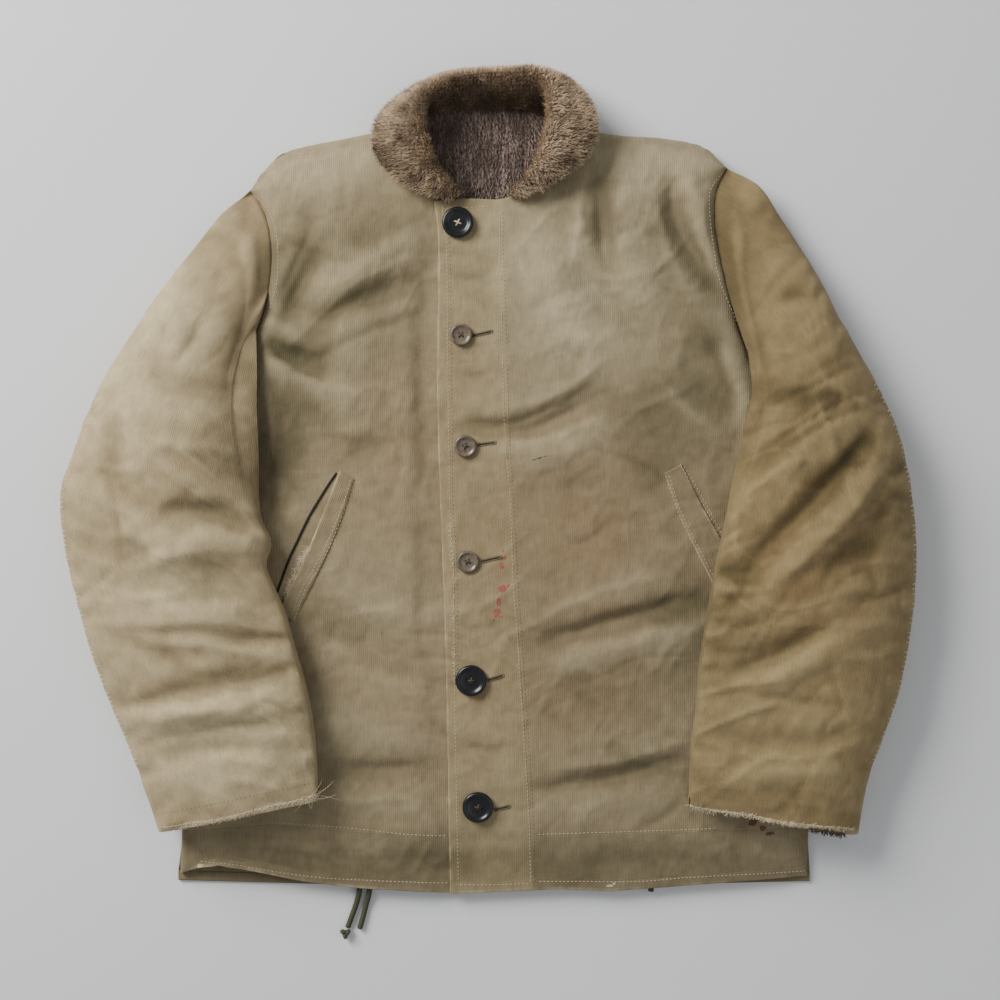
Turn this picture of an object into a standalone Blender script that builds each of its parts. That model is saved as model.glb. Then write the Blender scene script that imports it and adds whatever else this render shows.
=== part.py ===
"""A short deck jacket laid out flat on its back, buttoned, with its sleeves beside the body.

Millimetres are used in the tables and metres in the finished meshes. +Z is up, +Y runs to the collar,
and +X is the right of the picture, which is the wearer's left. The origin is under the middle of the
jacket, on the surface that it lies on. Every cloth piece is a closed wall of its own.
"""

import math

import bmesh
import bpy
import numpy as np
from mathutils import Vector
from mathutils.bvhtree import BVHTree

MM = 0.001

# Thicknesses and gaps
CLOTH = 3.0             # doubled shell cloth with its seam allowances
SEAM_GAP = 0.3          # between pieces that are sewn together
PILE = 8.7              # one layer of pile lining
LINING_INSET = 18.0     # the back lining inside the sides and armholes
LINING_SHOULDER = 14.0  # and below the shoulders
LINING_TIP = 188.0      # its shoulders end this far from the middle
LINING_HEM = -309.0
COLLAR_PILE = 6.0
COLLAR_SHELL = 2.0
WELT = 2.2
BINDING = 9.0           # width of the tape that binds the hem
LAP_STEP = CLOTH + SEAM_GAP
LAP_RAMP = 30.0         # the right front sinks under the placket over this width
LOWEST_TOP = 17.6       # no trough in the fronts reaches the back lining
BODY_CLEARANCE = 1.0    # the sleeves' undersides over the body
UNDER_REACH = 23.0      # looked for around each point of an underside
CURVE_STEPS = 14
THINNING_STEPS = 14     # a wall that would cut through itself gets thinner there, step by step
THINNEST = 0.5

# Cells across and along each block of the body's fronts
COLUMNS = {"right_front": 11, "lap": 3, "placket_edge": 1, "left_front": 12}
ROWS = {"binding": 1, "band": 2, "front": 21}
SLEEVE_COLUMNS = 11
FAN_ROWS = 8
FAN_COLUMNS = 7
FAN_STEPS = 40
FAN_PUSH = 14.0
SLEEVE_ROWS = 20
COLLAR_COLUMNS = 30
COLLAR_ROWS = 8
COLLAR_BARE_COLUMNS = 3
COLLAR_EASING = 3
COLLAR_FALL_ROW = 4
COLLAR_NARROW = 26.0    # where the fall is narrower than this, it is thinner too

# Upright seams of the fronts from the hem up, and the armholes from the underarm up: x, y
SIDE_RIGHT = [(-280, -362), (-274, -148), (-267, 8), (-254, 66)]
ARMHOLE_RIGHT = [(-232, 102), (-209, 134), (-197, 175), (-196, 215), (-204, 244), (-216, 262)]
SIDE_LEFT = [(291, -366), (294, -239), (293, -74), (284, 74)]
ARMHOLE_LEFT = [(268, 83), (242, 102), (225, 141), (212, 188), (205, 229), (207, 260), (217, 283)]
PLACKET_EDGE = [(-34, -378), (-37, -182), (-41, -56), (-45, 71), (-44, 206), (-48, 250)]
LAP_EDGE = [(11, -377), (10, 0), (8, 251)]
PLACKET_SEAM = [(42, -374), (34, -233), (25, -92), (18, 44), (15, 188), (14, 252)]

# Level seams of the fronts and the top edges, in the direction of +X: x, y
HEM = [(-290, -364), (-264, -354), (-245, -351), (-220, -355), (-171, -366), (-116, -373), (-33, -378),
       (65, -374), (111, -376), (193, -370), (300, -362)]
BAND_SEAM = [(-290, -321), (-195, -313), (-134, -320), (-33, -329), (42, -328), (156, -323), (300, -315)]
TOP_RIGHT = [(-216, 262), (-203, 281), (-183, 298), (-135, 309), (-80, 316), (-72, 301), (-63, 280), (-45, 262),
             (-48, 250)]
TOP_LAP = [(-48, 250), (-20, 252), (8, 251)]
TOP_EDGE = [(8, 251), (14, 252)]
TOP_LEFT = [(14, 252), (45, 261), (62, 280), (71, 300), (75, 317), (116, 313), (162, 310), (196, 302),
            (217, 283)]
BACK_NECK = [(76, 322), (48, 339), (-3, 340), (-53, 337), (-80, 322)]
BACK_HEM = [(-284, -368), (-136, -372), (11, -374), (158, -372), (295, -369)]

# How high the fronts' outer face stands at their border, and how wide its rounding is
BORDER = [
    # x, y, edge height, rounding width
    (-280, -362, 9, 34),
    (-274, -148, 7, 42),
    (-267, 8, 7, 42),
    (-254, 66, 8, 42),
    (-232, 102, 14, 40),
    (-209, 134, 23, 34),
    (-197, 175, 26, 30),
    (-196, 215, 24, 32),
    (-204, 244, 18, 38),
    (-216, 262, 13, 42),
    (-181, 296, 9, 44),
    (-135, 309, 9, 46),
    (-80, 316, 18, 44),
    (-72, 301, 21, 34),
    (-63, 280, 27, 24),
    (-45, 262, 28, 20),
    (14, 252, 28, 20),
    (62, 280, 28, 24),
    (71, 300, 22, 34),
    (75, 317, 18, 44),
    (116, 313, 9, 46),
    (162, 309, 9, 44),
    (194, 301, 9, 44),
    (217, 283, 13, 42),
    (207, 260, 18, 36),
    (205, 229, 23, 32),
    (212, 188, 26, 30),
    (225, 141, 24, 34),
    (242, 102, 19, 38),
    (268, 83, 13, 40),
    (284, 74, 8, 42),
    (293, -74, 7, 42),
    (294, -239, 7, 42),
    (291, -366, 7, 40),
    (255, -367, 11, 30),
    (100, -376, 12, 24),
    (-116, -374, 13, 24),
    (-200, -358, 16, 22),
    (-245, -351, 21, 22),
    (-268, -355, 16, 26),
]

# Height of the fronts over both linings, up the middle of the body
PLATEAU = [
    # y, height
    (-380, 12.5),
    (-345, 14.5),
    (-318, 19.5),
    (-300, 22.0),
    (-240, 26.0),
    (-100, 29.0),
    (60, 31.0),
    (200, 30.0),
    (260, 29.0),
    (330, 26.0),
]

# Soft ridges and troughs, each along a bend through three points. A negative height is a trough.
BODY_FOLDS = [
    # x, y at its start, middle and end, half width, height
    (-182, 128, -105, 193, -54, 218, 11, 2.5),
    (-169, 141, -105, 164, -54, 183, 12, -4.0),
    (-148, 213, -169, 175, -190, 136, 10, -3.5),
    (-203, 126, -179, 109, -139, 92, 9, -4.0),
    (-203, 116, -169, 90, -115, 70, 12, 3.0),
    (-128, 18, -110, 26, -92, 32, 9, -2.0),
    (-156, -116, -106, -142, -53, -173, 16, -3.5),
    (-156, -263, -97, -270, -40, -263, 12, -2.0),
    (-169, -200, -115, -218, -61, -231, 20, 2.0),
    (-142, 250, -124, 160, -122, 52, 26, 2.5),
    (-21, 44, 39, 45, 106, 76, 10, -5.0),
    (11, 28, 56, 22, 110, 44, 13, 3.0),
    (62, 187, 101, 160, 152, 122, 14, -2.5),
    (101, 289, 106, 232, 107, 173, 10, -3.0),
    (166, 271, 171, 226, 211, 168, 11, -4.0),
    (182, 278, 196, 224, 222, 160, 10, 3.0),
    (47, 232, 65, 160, 75, 106, 26, 3.0),
    (43, -148, 110, -132, 191, -110, 12, -4.0),
    (52, -168, 119, -154, 196, -129, 13, 2.5),
    (45, -278, 110, -271, 179, -252, 11, -3.0),
    (119, 268, 137, 196, 137, 124, 20, 2.5),
    (214, 160, 232, 70, 240, 8, 12, 2.5),
]

# Sleeves from the armhole to the cuff. The outer edge lies on the floor, the inner edge on the body.
SLEEVE_RIGHT = [
    # outer x, outer y, inner x, inner y, height of the crown
    (-217, 262, -207, 135, 27),
    (-240, 240, -206, 119, 38),
    (-265, 212, -205, 104, 48),
    (-291, 177, -205, 83, 57),
    (-316, 140, -205, 61, 64),
    (-339, 103, -204, 37, 69),
    (-357, 69, -203, 14, 72),
    (-373, 26, -203, -11, 74),
    (-386, -12, -202, -33, 72),
    (-385, -44, -192, -58, 66),
    (-379, -79, -196, -82, 68),
    (-369, -117, -182, -113, 70),
    (-357, -160, -170, -154, 68),
    (-342, -201, -160, -190, 64),
    (-324, -242, -154, -225, 62),
    (-310, -279, -152, -257, 57),
    (-296, -317, -151, -287, 50),
]
SLEEVE_LEFT = [
    # outer x, outer y, inner x, inner y, height of the crown
    (219, 283, 237, 116, 27),
    (245, 266, 238, 90, 38),
    (270, 232, 237, 77, 48),
    (295, 190, 233, 63, 56),
    (318, 144, 229, 49, 63),
    (340, 106, 226, 32, 68),
    (360, 67, 221, 13, 72),
    (375, 26, 216, -9, 74),
    (384, -22, 211, -37, 71),
    (387, -69, 204, -70, 70),
    (385, -110, 198, -102, 70),
    (380, -151, 192, -138, 69),
    (372, -189, 187, -173, 66),
    (362, -221, 185, -206, 64),
    (350, -253, 181, -236, 61),
    (341, -285, 180, -264, 56),
    (336, -321, 179, -292, 50),
]
SLEEVE_RIGHT_FOLDS = [
    (-211, 250, -228, 200, -250, 150, 9, -3.0),
    (-288, 158, -272, 141, -253, 135, 10, 3.5),
    (-334, 68, -324, 16, -309, -44, 12, -3.5),
    (-316, -39, -284, -63, -250, -97, 10, 4.0),
    (-286, -28, -247, -28, -205, -46, 9, -5.5),
    (-300, -72, -247, -58, -200, -60, 9, 4.0),
    (-329, -199, -250, -186, -172, -170, 11, -6.5),
    (-323, -216, -248, -204, -165, -190, 12, 5.0),
    (-225, -140, -198, -139, -172, -140, 9, -3.5),
    (-296, -107, -252, -118, -198, -107, 12, 3.5),
    (-296, 95, -261, 81, -230, 86, 14, -3.5),
    (-340, -134, -296, -151, -244, -156, 11, -3.5),
    (-248, 156, -222, 112, -210, 51, 12, 4.0),
    (-296, -248, -239, -241, -165, -235, 10, -3.0),
]
SLEEVE_LEFT_FOLDS = [
    (212, 196, 226, 172, 250, 200, 11, -4.0),
    (258, 196, 241, 156, 228, 79, 9, 5.0),
    (259, 160, 274, 165, 290, 167, 9, -3.0),
    (336, 45, 302, 1, 228, -77, 13, -6.0),
    (349, 16, 309, -37, 239, -99, 14, 4.5),
    (302, -126, 261, -151, 215, -168, 11, -5.0),
    (314, -142, 266, -170, 217, -188, 12, 4.0),
    (201, -90, 222, -92, 252, -88, 9, -3.0),
    (345, -59, 318, -72, 292, -81, 9, -3.0),
    (248, 86, 274, 68, 318, 73, 16, -4.0),
    (187, -226, 248, -235, 327, -230, 11, -3.5),
    (191, -257, 248, -264, 318, -261, 10, 2.5),
]
ARMHOLE_REACH = 0.22    # share of the sleeve over which the armhole's bend fades
SEAM_LIFT = 2.5         # the under sleeve starts this high over the armhole seam, at the underarm
SLEEVE_ROOM = 10.0      # least height inside a sleeve under its seams
SLEEVE_EDGE = 17.0      # the sleeve's seams lie this high over what is below them
CUFF_LINING_ROWS = 3    # sleeve rows that the pile inside each cuff reaches in from the mouth
CUFF_PILE = 5.0
CUFF_RECESS = 0.35      # of a sleeve row, left between the cuff's edge and its pile

# The collar round the neck, from the right front to the left: the foot of the stand, the rolled
# top edge, and the free edge that falls outward
COLLAR = [
    # foot x, y, roll x, y, height, free edge x, y, height, puff of the fall
    (-20, 255, -23, 256, 38, -33, 249, 38, 1),
    (-38, 263, -35, 267, 46, -57, 253, 44, 3),
    (-56, 279, -44, 283, 50, -90, 270, 42, 5),
    (-67, 299, -50, 304, 52, -107, 296, 36, 7),
    (-73, 314, -54, 325, 50, -106, 325, 30, 8),
    (-67, 325, -54, 340, 48, -86, 343, 23, 6),
    (-51, 331, -42, 351, 46, -63, 362, 14, 4),
    (-25, 335, -21, 355, 44, -26, 374, 9, 3),
    (3, 335, 4, 356, 44, 4, 374, 7, 3),
    (30, 335, 29, 359, 46, 32, 376, 9, 3),
    (50, 333, 48, 360, 50, 61, 374, 16, 4),
    (64, 326, 52, 343, 54, 85, 352, 34, 5),
    (70, 311, 50, 320, 56, 101, 324, 46, 7),
    (67, 294, 45, 297, 56, 99, 296, 50, 8),
    (56, 277, 37, 277, 52, 76, 272, 50, 6),
    (40, 263, 28, 263, 46, 50, 259, 46, 3),
    (19, 255, 17, 255, 38, 26, 251, 38, 1),
]

# Pocket welts from the top down: the stitched edge and the edge at the mouth
WELT_RIGHT = [
    # stitched x, y, mouth x, y
    (-120, -1, -133, 7),
    (-131, -35, -152, -41),
    (-149, -78, -170, -82),
    (-175, -129, -190, -122),
]
WELT_LEFT = [
    (159, 5, 174, 13),
    (175, -39, 193, -25),
    (193, -76, 211, -57),
    (208, -106, 224, -90),
]

BUTTONS = [
    # x, y, radius, thickness
    (-27, 230, 14.0, 4.6),
    (-24, 129, 10.0, 3.8),
    (-20, 29, 10.0, 3.8),
    (-18, -75, 10.0, 3.8),
    (-15, -182, 14.0, 4.6),
    (-9, -297, 14.0, 4.6),
]
BUTTON_SIDES = 20
HOLE_SIDES = 6
HOLE_PLACE = 0.2        # from the middle, in button radii, along x and y
HOLE_RADIUS = 0.1       # in button radii
BUTTON_PROFILE = [
    # share of the radius, share of the thickness
    (0.78, 0.0),
    (1.0, 0.35),
    (0.97, 0.85),
    (0.86, 1.0),
    (0.68, 0.58),
]

# The drawcord's free ends out of the hem, resting on the floor: x, y, z
CORD_RADIUS = 2.6
CORD_LONG = [(-115, -356, 6.6), (-116, -368, 6.5), (-118, -379, 5.0), (-121, -390, 2.7), (-126, -404, 2.7),
             (-129, -412, 2.7)]
CORD_SHORT = [(-108, -356, 6.6), (-108, -369, 6.5), (-109, -380, 5.0), (-112, -391, 2.7), (-115, -403, 2.7),
              (-118, -413, 2.7)]
CORD_STUB = [(150, -345, 6.3), (150, -356, 6.3), (150, -368, 6.1), (149, -378, 5.9)]
CORD_KNOT = (-130.6, -416.4, 4.6)
KNOT_RADIUS = 4.6

# Colours, from the photograph
SHELL_FRONT = (0.235, 0.188, 0.115)
SHELL_SLEEVE = (0.305, 0.245, 0.160)
SHELL_PLACKET = (0.300, 0.247, 0.150)
SHELL_HEM = (0.155, 0.122, 0.072)
PILE_COLLAR = (0.150, 0.105, 0.060)
PILE_LINING = (0.070, 0.046, 0.036)
BUTTON_BLACK = (0.006, 0.006, 0.007)
BUTTON_BROWN = (0.130, 0.112, 0.090)
CORD_OLIVE = (0.060, 0.058, 0.032)


def material(name, colour, roughness):
    """A plain surface of one colour."""
    surface = bpy.data.materials.new(name)
    surface.use_nodes = True
    shader = surface.node_tree.nodes["Principled BSDF"]
    shader.inputs["Base Color"].default_value = (*colour, 1.0)
    shader.inputs["Roughness"].default_value = roughness
    shader.inputs["Metallic"].default_value = 0.0
    return surface


def add(name, mesh, colour, roughness=0.9):
    """Puts a mesh in the scene under its piece's name, with its own material."""
    piece = bpy.data.objects.new(name, mesh)
    bpy.context.scene.collection.objects.link(piece)
    mesh.materials.append(material(name, colour, roughness))
    return piece


def along(points, shares):
    """Places at the given shares of the length of a smooth curve through the points."""
    knots = np.array(points, float)
    ends = [2 * knots[0] - knots[1]], [2 * knots[-1] - knots[-2]]
    padded = np.vstack([ends[0], knots, ends[1]])
    t = np.linspace(0.0, 1.0, CURVE_STEPS, endpoint=False)[:, None]
    runs = []
    for a, b, c, d in zip(padded, padded[1:], padded[2:], padded[3:]):
        cubic = 3 * b - a - 3 * c + d
        square = 2 * a - 5 * b + 4 * c - d
        runs.append(b + 0.5 * ((c - a) * t + square * t**2 + cubic * t**3))
    path = np.vstack(runs + [knots[-1:]])
    run = np.concatenate([[0.0], np.cumsum(np.linalg.norm(np.diff(path, axis=0), axis=1))])
    wanted = np.asarray(shares) * run[-1]
    return np.column_stack([np.interp(wanted, run, path[:, k]) for k in range(path.shape[1])])


def ease(share):
    """Rises smoothly from 0 to 1."""
    share = np.clip(share, 0.0, 1.0)
    return share * share * (3.0 - 2.0 * share)


def folds(x, y, table):
    """The height that a table of ridges and troughs adds at each place."""
    total = np.zeros(np.shape(x))
    for x0, y0, x1, y1, x2, y2, width, height in table:
        shares = np.linspace(0.0, 1.0, 13)
        bend = along([(x0, y0), (x1, y1), (x2, y2)], shares)
        gap = np.hypot(x[..., None] - bend[:, 0], y[..., None] - bend[:, 1])
        fade = np.sin(math.pi * (0.08 + 0.84 * shares)) ** 0.6
        total += height * np.max(fade * np.exp(-((gap / width) ** 2)), axis=-1)
    return total


def body_height(x, y):
    """Height of the fronts' outer face: rounded at its border, flat over the linings, and folded."""
    border = np.array(BORDER + BORDER[:1], float)
    start, end = border[:-1], border[1:]
    span = end - start
    offset = np.stack([x[..., None] - start[:, 0], y[..., None] - start[:, 1]], axis=-1)
    share = (offset * span[:, :2]).sum(-1) / (span[:, :2] ** 2).sum(-1)
    share = np.clip(share, 0.0, 1.0)
    gap = np.hypot(offset[..., 0] - share * span[:, 0], offset[..., 1] - share * span[:, 1])
    nearest = gap.argmin(-1)
    pick = lambda values: np.take_along_axis(values, nearest[..., None], -1)[..., 0]
    edge = pick(start[:, 2] + share * span[:, 2])
    width = pick(start[:, 3] + share * span[:, 3])
    inward = np.clip(pick(gap) / width, 0.0, 1.0)
    rounding = np.sqrt(1.0 - (1.0 - inward) ** 2)
    plateau = np.interp(y, [row[0] for row in PLATEAU], [row[1] for row in PLATEAU])
    lying = edge + (plateau - edge) * rounding
    folded = lying + folds(x, y, BODY_FOLDS) * rounding
    floor = np.minimum(lying, LOWEST_TOP)
    return np.maximum(folded, floor)


def seam_line(points, armhole=()):
    """One upright seam of the fronts at every row of the grid, from the hem up."""
    path = along(list(points) + list(armhole), np.linspace(0.0, 1.0, 400))
    hem_y = 0.0
    for _ in range(4):
        hem_x = np.interp(hem_y, path[:, 1], path[:, 0])
        hem_y = np.interp(hem_x, *np.array(HEM, float).T)
    band_y = np.interp(np.interp(-320.0, path[:, 1], path[:, 0]), *np.array(BAND_SEAM, float).T)
    low = [np.linspace(hem_y, hem_y + BINDING, ROWS["binding"] + 1)[:-1],
           np.linspace(hem_y + BINDING, band_y, ROWS["band"] + 1)[:-1]]
    y = np.concatenate(low)
    low_points = np.column_stack([np.interp(y, path[:, 1], path[:, 0]), y])
    start = (np.interp(band_y, path[:, 1], path[:, 0]), band_y)
    upper = [start] + [tuple(point) for point in path[path[:, 1] > band_y + 1.0]]
    high_points = along(upper, np.linspace(0.0, 1.0, ROWS["front"] + 1))
    return np.vstack([low_points, high_points])


def coons(left, right, bottom, top):
    """Fills a four-sided patch between its edges; rows run from bottom to top."""
    v = np.linspace(0.0, 1.0, len(left))[:, None, None]
    u = np.linspace(0.0, 1.0, len(bottom))[None, :, None]
    across = (1 - u) * left[:, None, :] + u * right[:, None, :]
    upward = (1 - v) * bottom[None, :, :] + v * top[None, :, :]
    corners = ((1 - u) * (1 - v) * bottom[0] + u * (1 - v) * bottom[-1]
               + (1 - u) * v * top[0] + u * v * top[-1])
    return across + upward - corners


def level_line(table, start, end, count):
    """A level seam between two upright ones; its y comes from the table."""
    x = np.linspace(start[0], end[0], count + 1)
    y = np.interp(x, *np.array(table, float).T)
    blend = np.linspace(0.0, 1.0, count + 1)
    y += (1 - blend) * (start[1] - y[0]) + blend * (end[1] - y[-1])
    return np.column_stack([x, y])


def body_grid():
    """Plan of the whole front: one grid that all of its pieces share."""
    uprights = [seam_line(SIDE_RIGHT, ARMHOLE_RIGHT), seam_line(PLACKET_EDGE), seam_line(LAP_EDGE),
                seam_line(PLACKET_SEAM), seam_line(SIDE_LEFT, ARMHOLE_LEFT)]
    tops = [TOP_RIGHT, TOP_LAP, TOP_EDGE, TOP_LEFT]
    band = ROWS["binding"] + ROWS["band"]
    blocks = []
    for left, right, top, count in zip(uprights, uprights[1:], tops, COLUMNS.values()):
        hem = level_line(HEM, left[0], right[0], count)
        tape = level_line([(x, y + BINDING) for x, y in HEM], left[1], right[1], count)
        seam = level_line(BAND_SEAM, left[band], right[band], count)
        upper = along([tuple(left[-1])] + list(top[1:-1]) + [tuple(right[-1])],
                      np.linspace(0.0, 1.0, count + 1))
        parts = [coons(left[:2], right[:2], hem, tape)[:-1],
                 coons(left[1:band + 1], right[1:band + 1], tape, seam)[:-1],
                 coons(left[band:], right[band:], seam, upper)]
        blocks.append(np.vstack(parts))
    columns = [block[:, :-1] for block in blocks[:-1]] + [blocks[-1]]
    return np.concatenate(columns, axis=1)


def wall_faces(rows, columns, ring, turned):
    """Facets of a closed wall between two grids: its two faces first, and then its rim."""
    count = rows * columns
    faces = []
    wide = columns if ring else columns - 1
    for i in range(rows - 1):
        for j in range(wide):
            a, b = i * columns + j, i * columns + (j + 1) % columns
            c, d = b + columns, a + columns
            if turned is not None and j >= turned:
                a, b, c, d = b, c, d, a
            faces += [(a, b, c), (a, c, d)]
            faces += [(count + a, count + c, count + b), (count + a, count + d, count + c)]
    rim = []
    for j in range(wide):
        k = (j + 1) % columns
        last = (rows - 1) * columns
        rim += [(k, j), (last + j, last + k)]
    if not ring:
        for i in range(rows - 1):
            a, b = i * columns, (i + 1) * columns
            rim += [(a, b), (b + columns - 1, a + columns - 1)]
    for a, b in rim:
        faces += [(count + b, count + a, a), (count + b, a, b)]
    return faces


def thinned(outer, inner, faces):
    """The inner grid, drawn to the outer one where the wall would cut through itself in a tight bend."""
    shape = outer.shape
    count = shape[0] * shape[1]
    outer, inner = outer.reshape(-1, 3), inner.reshape(-1, 3).copy()
    corners = [set(face) for face in faces]
    for _ in range(THINNING_STEPS):
        points = [tuple(point) for point in np.concatenate([outer, inner])]
        tree = BVHTree.FromPolygons(points, faces, epsilon=0.0)
        crossing = [(a, b) for a, b in tree.overlap(tree) if a < b and not corners[a] & corners[b]]
        if not crossing:
            break
        bent = sorted({corner % count for pair in crossing for face in pair for corner in faces[face]})
        thick = np.linalg.norm(inner[bent] - outer[bent], axis=1, keepdims=True)
        share = np.clip(1.0 - THINNEST / np.maximum(thick, 1e-6), 0.0, 0.3)
        inner[bent] += (outer[bent] - inner[bent]) * share
    return inner.reshape(shape)


def wall(name, outer, inner, colour, ring=False, turned=None):
    """A closed wall between two grids of points in millimetres.

    A ring joins its last column to its first. From the column called turned on, each cell is split
    along its other diagonal, so that a reversed run of columns keeps its neighbour's facets.
    """
    faces = wall_faces(outer.shape[0], outer.shape[1], ring, turned)
    inner = thinned(outer, inner, faces)
    points = np.concatenate([outer.reshape(-1, 3), inner.reshape(-1, 3)]) * MM
    mesh = bpy.data.meshes.new(name)
    mesh.from_pydata([tuple(point) for point in points], [], faces)
    shape = bmesh.new()
    shape.from_mesh(mesh)
    bmesh.ops.remove_doubles(shape, verts=shape.verts, dist=1e-6)
    bmesh.ops.recalc_face_normals(shape, faces=shape.faces)
    if shape.calc_volume(signed=True) < 0:
        bmesh.ops.reverse_faces(shape, faces=shape.faces)
    shape.to_mesh(mesh)
    shape.free()
    mesh.shade_smooth()
    mesh.set_sharp_from_angle(angle=math.radians(50))
    return add(name, mesh, colour)


def slab(name, outline, bottom, top, colour):
    """A flat piece with an outline, between two heights."""
    shape = bmesh.new()
    corners = [shape.verts.new((x * MM, y * MM, bottom * MM)) for x, y in outline]
    face = shape.faces.new(corners)
    lifted = bmesh.ops.extrude_face_region(shape, geom=[face])
    raised = [item for item in lifted["geom"] if isinstance(item, bmesh.types.BMVert)]
    bmesh.ops.translate(shape, verts=raised, vec=(0.0, 0.0, (top - bottom) * MM))
    bmesh.ops.recalc_face_normals(shape, faces=shape.faces)
    if shape.calc_volume(signed=True) < 0:
        bmesh.ops.reverse_faces(shape, faces=shape.faces)
    mesh = bpy.data.meshes.new(name)
    shape.to_mesh(mesh)
    shape.free()
    return add(name, mesh, colour)


def lowered(grid, depth):
    """The same grid, further down."""
    return grid - np.array([0.0, 0.0, depth])


def narrowed(grid, left=0.0, right=0.0, bottom=0.0, top=0.0):
    """The grid with its border rows and columns drawn in, to leave seam gaps."""
    grid = grid.copy()
    for gap, edge, beside in ((left, np.s_[:, 0], np.s_[:, 1]), (right, np.s_[:, -1], np.s_[:, -2]),
                              (bottom, np.s_[0], np.s_[1]), (top, np.s_[-1], np.s_[-2])):
        if gap:
            step = grid[beside] - grid[edge]
            length = np.linalg.norm(step, axis=-1, keepdims=True)
            grid[edge] += step * gap / length
    return grid


def build_fronts(plan):
    """Right front, placket, left front, the hem bands and the binding, all from one grid."""
    top = np.dstack([plan, body_height(plan[..., 0], plan[..., 1])])
    edge = COLUMNS["right_front"]
    lap = edge + COLUMNS["lap"]
    seam = lap + COLUMNS["placket_edge"]
    tape = ROWS["binding"]
    band = tape + ROWS["band"]
    under = top.copy()
    beside = plan[:, edge, None, 0] - plan[:, :, 0]
    drop = LAP_STEP * (1.0 - ease(beside / LAP_RAMP))
    under[..., 2] -= np.where(np.arange(plan.shape[1]) <= lap, drop, 0.0)
    half = SEAM_GAP / 2
    pieces = [
        # name, grid, rows, columns, gaps at its edges, colour
        ("front_right", under, np.s_[band:], np.s_[:lap + 1], (0, 0, half, 0), SHELL_FRONT),
        ("front_left", top, np.s_[band:], np.s_[seam:], (half, 0, half, 0), SHELL_FRONT),
        ("placket", top, np.s_[:], np.s_[edge:seam + 1], (0, half, 0, 0), SHELL_PLACKET),
        ("hem_band_right", under, np.s_[tape:band + 1], np.s_[:lap + 1], (0, 0, half, half), SHELL_HEM),
        ("hem_band_left", top, np.s_[tape:band + 1], np.s_[seam:], (half, 0, half, half), SHELL_HEM),
        ("hem_binding_right", under, np.s_[:tape + 1], np.s_[:lap + 1], (0, 0, 0, half), SHELL_HEM),
        ("hem_binding_left", top, np.s_[:tape + 1], np.s_[seam:], (half, 0, 0, half), SHELL_HEM),
    ]
    solids = []
    for name, grid, rows, columns, (left, right, low, high), colour in pieces:
        outer = narrowed(grid[rows, columns], left, right, low, high)
        solids.append(wall(name, outer, lowered(outer, CLOTH), colour))
    lining = under.copy()
    lining[..., 2] -= CLOTH + SEAM_GAP
    inset = lining[band + 1:-2, 2:-2]
    floor = inset.copy()
    floor[..., 2] = CLOTH + PILE + 2 * SEAM_GAP
    wall("lining_front", inset, floor, PILE_LINING)
    return solids, top


def drawn_in(line, distance):
    """An outline moved sideways, to its left where the distance is positive."""
    along_line = np.gradient(line, axis=0)
    along_line /= np.linalg.norm(along_line, axis=1, keepdims=True)
    return line + distance * np.column_stack([-along_line[:, 1], along_line[:, 0]])


def build_back(plan):
    """Back, its hem band and binding, and the back lining that shows in the neck."""
    side_right, side_left = plan[:, 0], plan[:, -1]
    band = ROWS["binding"] + ROWS["band"]
    shoulder_right = plan[-1, 1:COLUMNS["right_front"]]
    shoulder_right = shoulder_right[shoulder_right[:, 0] < -84]
    shoulder_left = plan[-1, -COLUMNS["left_front"]:-1]
    shoulder_left = shoulder_left[shoulder_left[:, 0] > 80]
    inside_left = shoulder_left[shoulder_left[:, 0] < LINING_TIP] - np.array([0.0, LINING_SHOULDER])
    inside_right = shoulder_right[shoulder_right[:, 0] > -LINING_TIP] - np.array([0.0, LINING_SHOULDER])
    neck = along(BACK_NECK, np.linspace(0.0, 1.0, 9))
    band_edge = [(side_left[band][0], side_left[band][1]), (side_right[band][0], side_right[band][1])]
    upper = np.vstack([side_left[band:], shoulder_left[::-1], neck, shoulder_right[::-1],
                       side_right[:band - 1:-1]])
    slab("back", upper, 0.0, CLOTH, SHELL_FRONT)
    hem = along(BACK_HEM, np.linspace(0.0, 1.0, 9))
    tape = hem + np.array([0.0, BINDING])
    gap = np.array([0.0, SEAM_GAP])
    band_outline = np.vstack([tape + gap, np.array(band_edge) - gap])
    slab("hem_band_back", band_outline, 0.0, CLOTH, SHELL_HEM)
    slab("hem_binding_back", np.vstack([hem, tape[::-1]]), 0.0, CLOTH, SHELL_HEM)
    # The lining keeps clear of the rounded sides and of the hem
    left_side = drawn_in(side_left[band:-1], LINING_INSET)
    right_side = drawn_in(side_right[band:-1], -LINING_INSET)
    left_side[0, 1] = right_side[0, 1] = LINING_HEM
    body = np.vstack([left_side, inside_left[::-1], neck, inside_right[::-1], right_side[::-1]])
    slab("lining_back", body, CLOTH + SEAM_GAP, CLOTH + SEAM_GAP + PILE, PILE_LINING)


class Top:
    """Heights of finished pieces, read straight down."""

    def __init__(self, pieces):
        self.trees = []
        for piece in pieces:
            shape = bmesh.new()
            shape.from_mesh(piece.data)
            bmesh.ops.triangulate(shape, faces=shape.faces)
            self.trees.append(BVHTree.FromBMesh(shape))
            shape.free()

    def at(self, x, y):
        """The highest surface at one place, or 0 where there is only the floor."""
        high = 0.0
        for tree in self.trees:
            hit = tree.ray_cast(Vector((x * MM, y * MM, 1.0)), Vector((0.0, 0.0, -1.0)))[0]
            if hit is not None:
                high = max(high, hit.z / MM)
        return high

    def over(self, x, y, reach):
        """The highest surface within a reach of the place."""
        around = [self.at(x, y)]
        for k in range(8):
            angle = k * math.pi / 4
            for share in (0.5, 1.0):
                around.append(self.at(x + reach * share * math.cos(angle),
                                      y + reach * share * math.sin(angle)))
        return max(around)


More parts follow.
